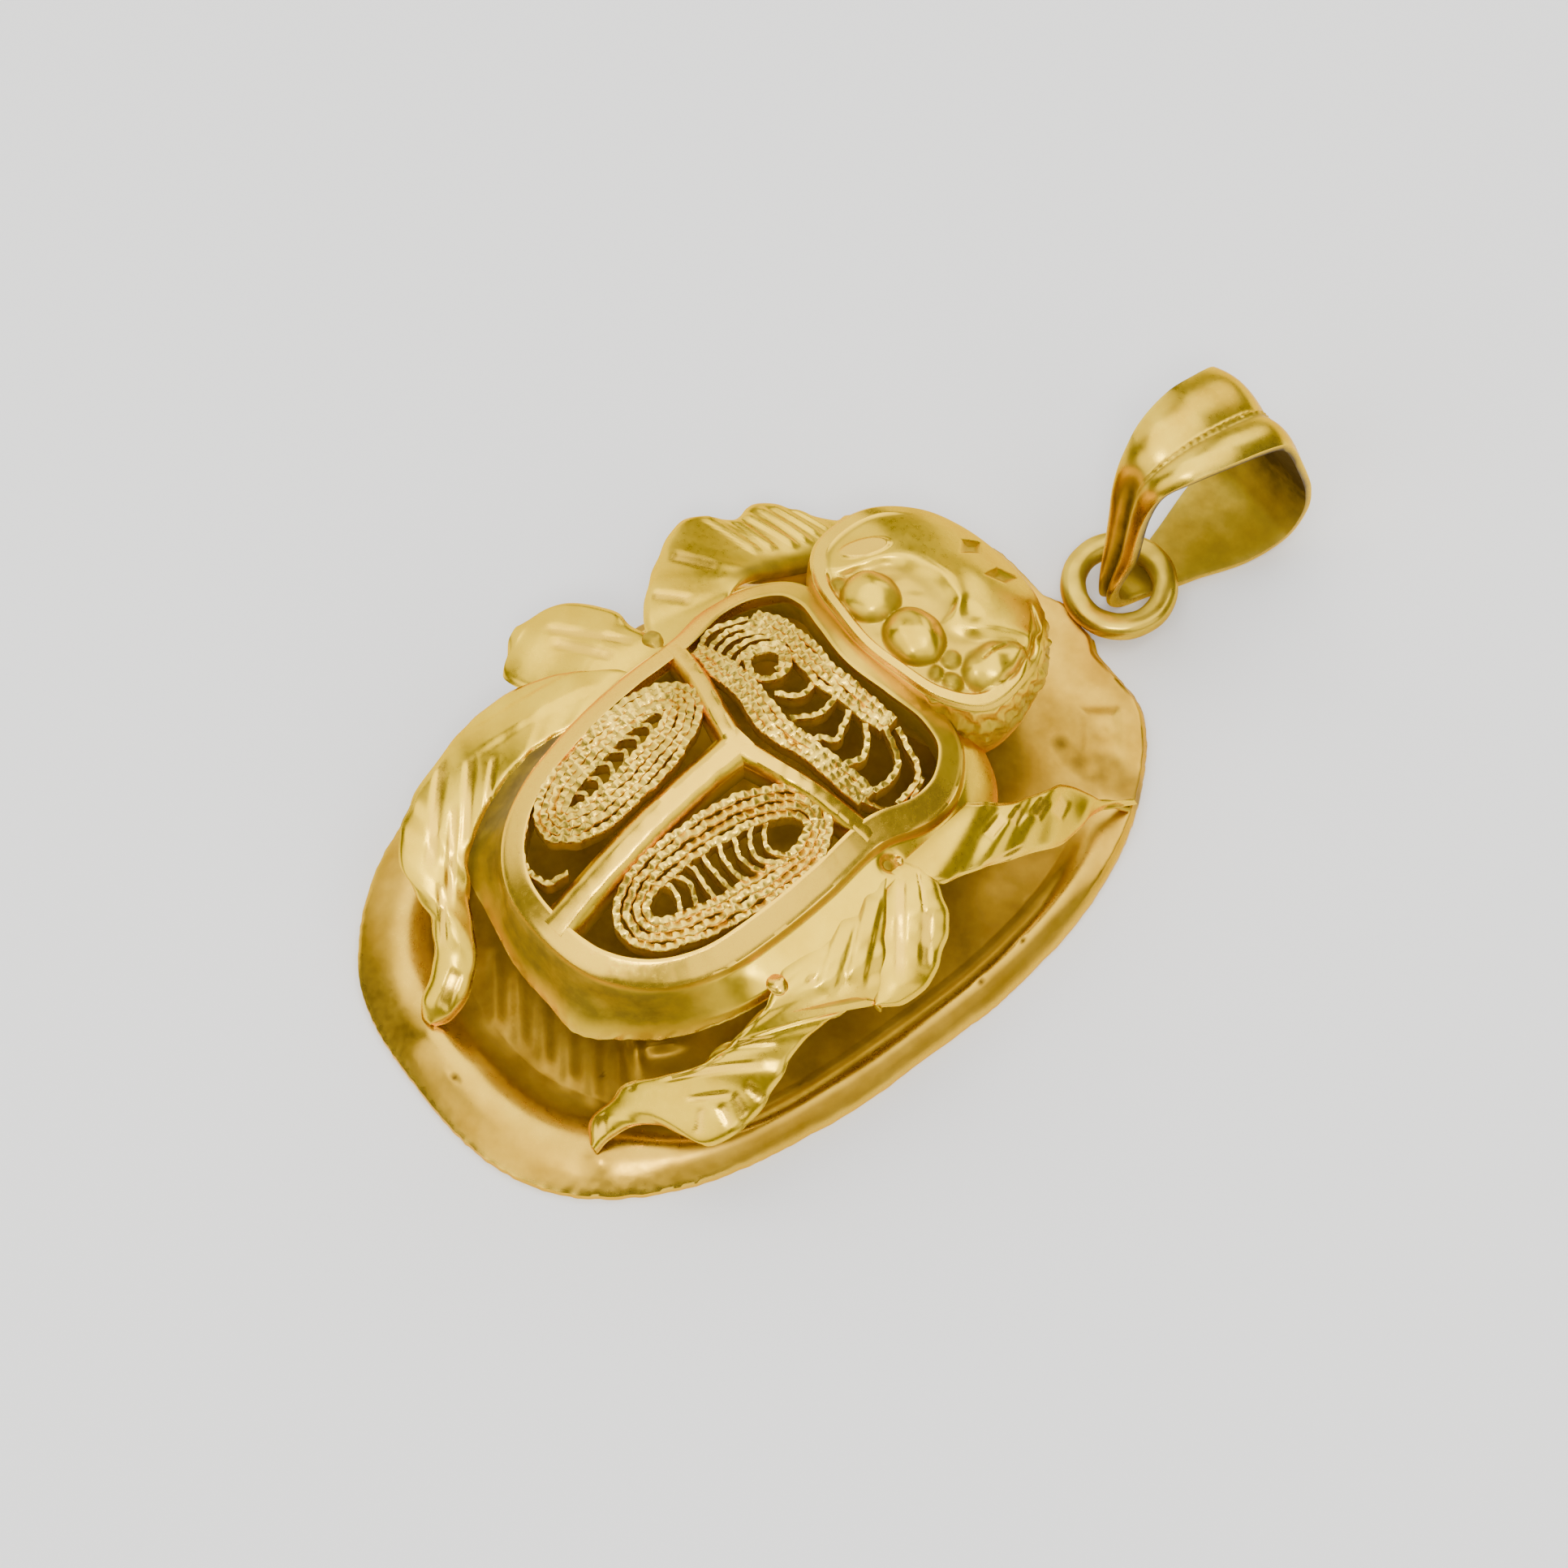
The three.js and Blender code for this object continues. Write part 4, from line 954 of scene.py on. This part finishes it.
LEG_SHEET = 0.28
LEG_EDGES = {
    "leg_right_hind": (
        [(6.1, -3.9, 6.25), (6.45, -4.4, 6.2), (6.7, -5.0, 5.95), (6.6, -5.7, 5.4), (6.1, -7.3, 4.2),
         (5.2, -8.4, 3.4), (4.4, -9.3, 2.8), (4.27, -10.07, 2.2), (4.2, -10.91, 1.6), (4.6, -11.41, 1.1)],
        [(6.1, 1.3, 6.6), (6.7, 0.7, 6.5), (7.5, -0.1, 6.15), (8.4, -0.9, 5.7), (8.95, -1.75, 5.3),
         (8.5, -2.4, 5.35), (8.2, -3.6, 5.2), (8.1, -4.5, 4.9), (8.3, -5.6, 4.4), (8.5, -6.6, 3.7),
         (8.5, -7.4, 3.2), (8.0, -8.8, 2.6), (6.3, -9.4, 2.3), (5.56, -10.06, 1.98),
         (5.3, -10.71, 1.6), (5.2, -11.41, 1.1)],
    ),
    "leg_right_middle": (
        [(6.0, 1.2, 6.45), (6.5, 0.2, 6.25), (7.1, -0.7, 5.95), (8.0, -1.5, 5.55), (8.7, -2.1, 5.25)],
        [(6.1, 2.1, 6.6), (7.2, 2.4, 6.45), (8.0, 2.1, 6.15), (8.8, 1.5, 5.7), (9.5, 0.2, 5.3),
         (9.5, -1.2, 5.15), (9.1, -1.9, 5.25)],
    ),
    "leg_right_front": (
        [(5.9, 5.2, 6.35), (6.2, 5.7, 6.1), (6.6, 6.8, 5.3), (6.8, 8.3, 4.5), (6.9, 9.2, 3.6),
         (7.72, 10.23, 2.2), (7.92, 11.22, 1.07)],
        [(6.1, 1.5, 6.6), (6.9, 1.9, 6.5), (7.5, 2.5, 6.2), (7.7, 3.5, 5.85), (8.0, 4.8, 5.2),
         (8.2, 6.1, 4.4), (8.45, 7.55, 3.45), (8.2, 8.6, 2.85), (8.0, 9.75, 2.05), (8.37, 11.32, 0.97)],
    ),
    "leg_left_hind": (
        [(-5.1, -2.3, 6.85), (-5.3, -3.2, 6.75), (-5.55, -4.3, 6.5), (-5.6, -5.4, 6.1), (-5.35, -6.9, 5.25),
         (-4.6, -8.25, 4.3), (-4.0, -8.7, 3.8), (-3.4, -9.15, 3.35), (-2.6, -9.7, 2.85), (-2.1, -10.3, 2.4),
         (-1.7, -11.2, 1.9), (-1.75, -11.95, 1.4), (-1.98, -12.33, 1.23)],
        [(-5.1, 0.4, 6.9), (-6.2, -0.5, 6.75), (-7.3, -1.7, 6.4), (-8.1, -3.2, 5.9), (-8.3, -5.1, 5.6),
         (-8.1, -6.4, 5.4), (-7.8, -7.8, 5.1), (-7.1, -9.3, 4.7), (-6.25, -10.05, 4.3), (-5.3, -10.25, 3.8),
         (-4.6, -10.3, 3.4), (-4.0, -10.65, 3.0), (-3.6, -11.0, 2.7), (-3.2, -11.65, 2.3),
         (-2.9, -12.25, 1.95), (-2.56, -12.55, 1.42), (-2.18, -12.53, 1.23)],
    ),
    "leg_left_middle": (
        [(-5.1, -0.9, 6.9), (-6.4, -1.8, 6.4), (-7.6, -2.9, 6.0), (-8.7, -3.1, 5.8), (-9.4, -2.2, 5.7)],
        [(-5.1, 1.6, 6.95), (-6.6, 1.4, 6.6), (-8.0, 1.3, 6.3), (-9.4, 0.3, 6.0), (-9.8, -1.2, 5.8)],
    ),
    "leg_left_front": (
        [(-5.2, 4.3, 6.7), (-5.5, 5.1, 6.1), (-5.6, 6.0, 5.3), (-5.4, 6.9, 4.6), (-5.2, 7.8, 4.0),
         (-5.0, 8.8, 3.4), (-4.93, 9.83, 2.6), (-5.24, 11.53, 1.13)],
        [(-5.1, 1.1, 6.9), (-6.8, 1.8, 6.6), (-7.5, 2.5, 6.4), (-8.1, 3.3, 6.1), (-8.7, 4.3, 5.8),
         (-9.1, 5.1, 5.5), (-9.3, 5.9, 5.2), (-9.1, 6.5, 5.0), (-8.6, 7.0, 4.8), (-8.3, 7.5, 4.6),
         (-8.5, 8.1, 4.3), (-8.5, 8.6, 4.1), (-8.2, 9.2, 3.8), (-7.7, 9.5, 3.6), (-7.3, 9.9, 3.3),
         (-6.6, 10.8, 2.7), (-6.7, 11.35, 2.25), (-6.52, 12.16, 1.4), (-6.12, 12.56, 0.84)],
    ),
}
LEG_STROKES = {
    "leg_right_hind": [
        ((6.4, -6.4), (7.5, -5.1), 0.1), ((5.3, -8.5), (7.7, -5.9), 0.13), ((6.4, -8.4), (7.5, -7.2), 0.09),
        ((4.6, -9.3), (4.7, -9.2), 0.15), ((4.4, -10.5), (5.0, -11.0), 0.22),
        ((7.4, -7.7), (8.1, -7.9), 0.13), ((7.5, -7.2), (8.3, -7.3), 0.13), ((7.6, -6.7), (8.3, -6.6), 0.13),
        ((7.0, -8.2), (7.5, -8.8), 0.13), ((6.9, -3.2), (7.1, -3.0), 0.13),
    ],
    "leg_right_middle": [
        ((6.4, 1.5), (8.9, -0.9), 0.17), ((6.6, 2.1), (8.2, 1.0), 0.06), ((7.8, 1.4), (9.1, 0.1), 0.2),
    ],
    "leg_right_front": [
        ((7.1, 4.9), (6.9, 5.9), 0.2), ((7.2, 6.0), (7.0, 6.7), 0.2), ((7.4, 6.9), (7.1, 7.8), 0.2),
        ((7.7, 7.7), (7.3, 8.6), 0.2), ((7.8, 4.0), (8.0, 6.0), 0.12),
    ],
    "leg_left_hind": [
        ((-7.9, -6.5), (-5.3, -9.5), 0.2), ((-7.2, -5.8), (-5.1, -8.0), 0.18),
        ((-6.4, -7.3), (-4.1, -9.7), 0.15), ((-6.5, -5.3), (-5.4, -6.7), 0.13),
        ((-4.9, -9.3), (-3.4, -10.6), 0.13), ((-2.6, -10.7), (-2.1, -11.9), 0.24),
    ],
    "leg_left_middle": [((-9.0, -0.9), (-6.1, 0.9), 0.17), ((-8.4, -1.1), (-6.1, 0.0), 0.19)],
    "leg_left_front": [
        ((-7.3, 2.6), (-6.1, 3.5), 0.2), ((-8.2, 4.3), (-6.6, 5.2), 0.26),
    ],
}
LEG_RIDGES = {
    "leg_right_hind": [
        ((6.2, 0.5), (8.1, -2.3), 0.3, 0.1), ((6.2, -0.6), (7.6, -3.2), 0.3, 0.08),
    ],
    "leg_left_hind": [((-6.2, -1.0), (-7.6, -6.0), 0.5, 0.08)],
    "leg_left_front": [
        ((-8.9, 6.5), (-6.4, 6.9), 0.16, 0.09), ((-8.2, 7.3), (-6.2, 7.5), 0.14, 0.08),
        ((-8.2, 7.8), (-5.9, 8.3), 0.14, 0.09), ((-8.2, 8.4), (-5.8, 8.9), 0.14, 0.09),
        ((-8.1, 8.9), (-5.9, 9.5), 0.14, 0.08), ((-7.6, 9.5), (-5.9, 10.1), 0.14, 0.07),
    ],
}


# Filigree

def wire(line, seed, recess, thick=0.15, closed=False):
    """An upright ribbon of twisted wire carried along a plan line under the crown of the back.

    Its width and top swell once a pitch, on a slant, so that it reads as a row of small beads.
    """
    length = np.linalg.norm(np.diff(line, axis=0), axis=1).sum()
    path = even(np.vstack([line, line[:1]]) if closed else line, max(int(length / WIRE_STEP), 8), closed)
    path = path + 0.035 * np.stack([wander(path, 0.9, seed + 1), wander(path, 0.9, seed + 2)], axis=1)
    side = plan_normals(path, closed)
    section = np.array([
        (-0.8, -1.0), (-0.88, -0.3), (-1.0, -0.12), (-0.72, 0.0),
        (0.72, 0.0), (1.0, -0.12), (0.88, -0.3), (0.8, -1.0),
    ])
    run = np.arange(len(path))[:, None] * WIRE_STEP
    beads = np.cos(2.0 * np.pi * run / WIRE_PITCH + 1.1 * section[None, :, 0])
    top = smooth_step(-0.5, 0.0, section[None, :, 1])
    across = thick * section[None, :, 0] * (1.0 + 0.16 * beads * top)
    x, y = beside(path, side, across)
    uneven = wander(joined(x, y), 1.6, seed)
    z = back_height(path[:, :1], path[:, 1:2]) - recess + 0.05 * uneven
    z = z + WIRE_TALL * section[None, :, 1] + 0.022 * beads * top
    # painted shade down the wire's sides into the cell, and between its beads
    deep = smooth_step(-0.1, -0.7, section[None, :, 1])
    low = smooth_step(-0.2, -1.0, beads) * top
    return tube(
        on_plate(joined(x, y, z)), looped=closed,
        stain=np.clip(0.9 * deep + 0.3 * low, 0, 1), cut=0.6 * top * (0.5 + 0.5 * beads),
    )


def oval(centre, along, across, turn):
    """A superellipse in plan, long along the body and turned a little."""
    s, c = np.sin(circle(200)), np.cos(circle(200))
    power = 2.0 / 2.3
    x = across * np.sign(c) * np.abs(c) ** power
    y = along * np.sign(s) * np.abs(s) ** power
    return turned(joined(x, y), turn, centre)[:, :2]


def crescent(start, end, bulge):
    """An arc in plan from start to end: half a sine wave that swells to its left by bulge."""
    a, b = np.array(start), np.array(end)
    t = np.linspace(0.0, 1.0, 30)[:, None]
    way = b - a
    left = np.array([-way[1], way[0]]) / np.linalg.norm(way)
    return a + way * t + left * bulge * np.sin(np.pi * t)


def nested(centre, eye, along, across, turn, rows, seed):
    """Oval rows of wire from the outermost in to the eye, whose middle lies off centre, each a bit lower."""
    skins = []
    for k in range(rows):
        share = k / (rows - 1)
        middle = np.array(centre) * (1 - share) + np.array(eye[0]) * share
        length, width = along + (eye[1] - along) * share, across + (eye[2] - across) * share
        skins.append(wire(oval(middle, length, width, turn), seed + k, 0.12 + 0.03 * k, closed=True))
    return skins


def filigree_left():
    """Left coil: rows of wire round a long eye crossed by crescents, and a loose wire at its tail."""
    skins = nested((-2.65, -3.0), ((-2.75, -2.95), 2.4, 0.5), 3.4, 1.7, 4, 5, 80)
    for k in range(7):
        y = -4.8 + 0.62 * k
        x = -2.75 - 0.07 * (y + 2.95)
        arc = crescent((x + 0.5, y - 0.15), (x - 0.5, y - 0.15), -0.4)
        skins.append(wire(arc, 90 + k, 0.28, thick=0.1))
    loose = smooth_line([(-3.6, -6.3), (-2.9, -7.2), (-2.1, -7.6), (-1.2, -7.6), (-0.85, -6.9)], 60)
    skins.append(wire(loose, 99, 0.1, thick=0.12))
    return skins


def filigree_right():
    """Right coil: rows of wire round a wide eye, with arcs across it that bow to the nearer end."""
    skins = nested((2.6, -3.05), ((2.7, -2.95), 3.05, 0.76), 3.95, 1.62, -12, 4, 100)
    for k in range(8):
        share = k / 7.0
        y = -0.5 - 5.0 * share
        x = 2.7 + 0.2 * (y + 2.95)
        bow = 0.75 - 1.2 * share
        arc = crescent((x + 0.72, y - 0.5 * bow), (x - 0.72, y - 0.5 * bow), bow)
        skins.append(wire(arc, 110 + k, 0.18, thick=0.1))
    return skins


def filigree_prothorax():
    """Front coil: a spiral, dense arcs beside it, open arcs across the right, and wires along both sides."""
    skins = []
    turn = np.linspace(0.0, 2.0 * np.pi * 1.6, 140)
    radius = 0.5 + 0.35 * turn / turn[-1]
    spiral = np.stack([-1.75 + radius * np.cos(turn), 2.95 + radius * np.sin(turn)], axis=1)
    skins.append(wire(spiral, 140, 0.1, thick=0.14))
    for k in range(5):
        x = -2.55 - 0.42 * k
        arc = crescent((x + 0.3, 1.75), (x + 0.55 - 0.06 * k, 4.05), 0.5)
        skins.append(wire(arc, 150 + k, 0.2, thick=0.12))
    for k, points in enumerate(FRONT_ARCS):
        skins.append(wire(smooth_line(points, 40), 160 + k, 0.2, thick=0.12))
    for k in range(4):
        front = [(-3.9 + 0.1 * k, 4.45 - 0.25 * k), (-2.9, 4.75 - 0.27 * k), (-1.5, 4.68 - 0.27 * k),
                 (-0.3, 4.55 - 0.27 * k), (0.8, 4.65 - 0.27 * k), (2.5, 4.9 - 0.2 * k)]
        skins.append(wire(smooth_line(front, 100), 170 + k, 0.2))
    for k in range(4):
        rear = [(-4.1, 1.75 + 0.12 * k), (-2.7, 1.5 + 0.2 * k), (-1.1, 1.3 + 0.24 * k),
                (0.2, 1.02 + 0.26 * k), (1.7, 1.45 + 0.2 * k), (3.9, 1.95 + 0.2 * k)]
        skins.append(wire(smooth_line(rear, 100), 180 + k, 0.2))
    end = smooth_line([(3.6, 1.95), (4.5, 2.6), (4.75, 3.5), (4.4, 4.4)], 60)
    skins.append(wire(end, 190, 0.25, thick=0.1))
    return skins


# Stage, light and camera

def placed(axes, at):
    """The matrix of a light or a camera, from its three axes and its place in metres."""
    matrix = np.eye(4)
    matrix[:3, :3], matrix[:3, 3] = axes, at
    return Matrix(matrix.tolist())


def pale_floor():
    """A flat square far larger than the view, at the height that the pendant lies on."""
    reach = FLOOR_REACH * MM
    mesh = bpy.data.meshes.new("floor")
    corners = [(-reach, -reach, 0.0), (reach, -reach, 0.0), (reach, reach, 0.0), (-reach, reach, 0.0)]
    mesh.from_pydata(corners, [], [(0, 1, 2, 3)])
    material, shader = principled("pale_floor")
    fill(shader, {"Base Color": FLOOR_COLOUR, "Roughness": 0.7})
    mesh.materials.append(material)
    floor = put_in_scene("floor", mesh)


def soft_light(name, position, size, watts):
    """A round soft light at a place in millimetres, turned to the pendant."""
    lamp = bpy.data.lights.new(name, "AREA")
    lamp.shape = "DISK"
    lamp.size = size * MM
    lamp.energy = watts
    at = np.array(position) * MM
    back = at / np.linalg.norm(at)
    side = np.cross([0.0, 0.0, 1.0], back)
    side /= np.linalg.norm(side)
    axes = np.stack([side, np.cross(back, side), back], axis=1)
    put_in_scene(name, lamp).matrix_world = placed(axes, at)


def studio():
    """A broad soft light overhead, dimmer ones round the sides and a small one for sparkle, in a dim room.

    Level gold shines and steep gold turns dark, as in the photograph.
    """
    world = bpy.data.worlds.new("studio")
    bpy.context.scene.world = world
    world.use_nodes = True
    fill(world.node_tree.nodes["Background"], {"Color": SKY_COLOUR, "Strength": SKY_STRENGTH})
    for light in LIGHTS:
        soft_light(*light)


def camera():
    """The photograph's camera: its axes from azimuth, elevation and roll, looking at the origin."""
    e, t, r = np.radians([CAMERA_ELEVATION, CAMERA_AZIMUTH, CAMERA_ROLL])
    right = np.array([np.cos(t), np.sin(t), 0.0])
    back = np.array([np.sin(t) * np.cos(e), -np.cos(t) * np.cos(e), np.sin(e)])
    up = np.cross(back, right)
    axes = np.stack([
        np.cos(r) * right - np.sin(r) * up, np.sin(r) * right + np.cos(r) * up, back,
    ], axis=1)
    lens = bpy.data.cameras.new("photo_view")
    lens.sensor_width = 36.0
    lens.lens = CAMERA_LENS
    lens.shift_x, lens.shift_y = CAMERA_SHIFT
    lens.clip_start = 0.01
    holder = put_in_scene("photo_view", lens)
    holder.matrix_world = placed(axes, back * CAMERA_DISTANCE * MM)
    bpy.context.scene.camera = holder


camera()
studio()
pale_floor()

make_piece("stamped_plate", [base_plate()], plate_gold, replaces=["base_plate"])
make_piece("jump_ring", [hanging_ring()], polished_gold, replaces=["hanging_ring"])
make_piece("bail_strip", [bail()], polished_gold, replaces=["bail"])
make_piece("scarab_body", scarab_body(), satin_gold, replaces=["scarab"])
make_piece("scarab_head", [head()], satin_gold)
for number, (leg, (inner, outer)) in enumerate(LEG_EDGES.items()):
    # the left front leg is more crowned and turns down steeply along its inner edge, with painted shade
    # there
    bend = {"crown": 0.65, "peak": 0.27, "fold_shade": 0.8} if leg == "leg_left_front" else {}
    skin = leaf(inner, outer, LEG_STROKES[leg], LEG_RIDGES.get(leg, ()), seed=60 + 3 * number, **bend)
    make_piece(leg, [skin], satin_gold, sharp=50.0)
make_piece("coil_left", filigree_left(), wire_gold, sharp=60.0, replaces=["filigree_left"])
make_piece("coil_right", filigree_right(), wire_gold, sharp=60.0, replaces=["filigree_right"])
make_piece(
    "coil_front", filigree_prothorax(), wire_gold, sharp=60.0, replaces=["filigree_prothorax"],
)
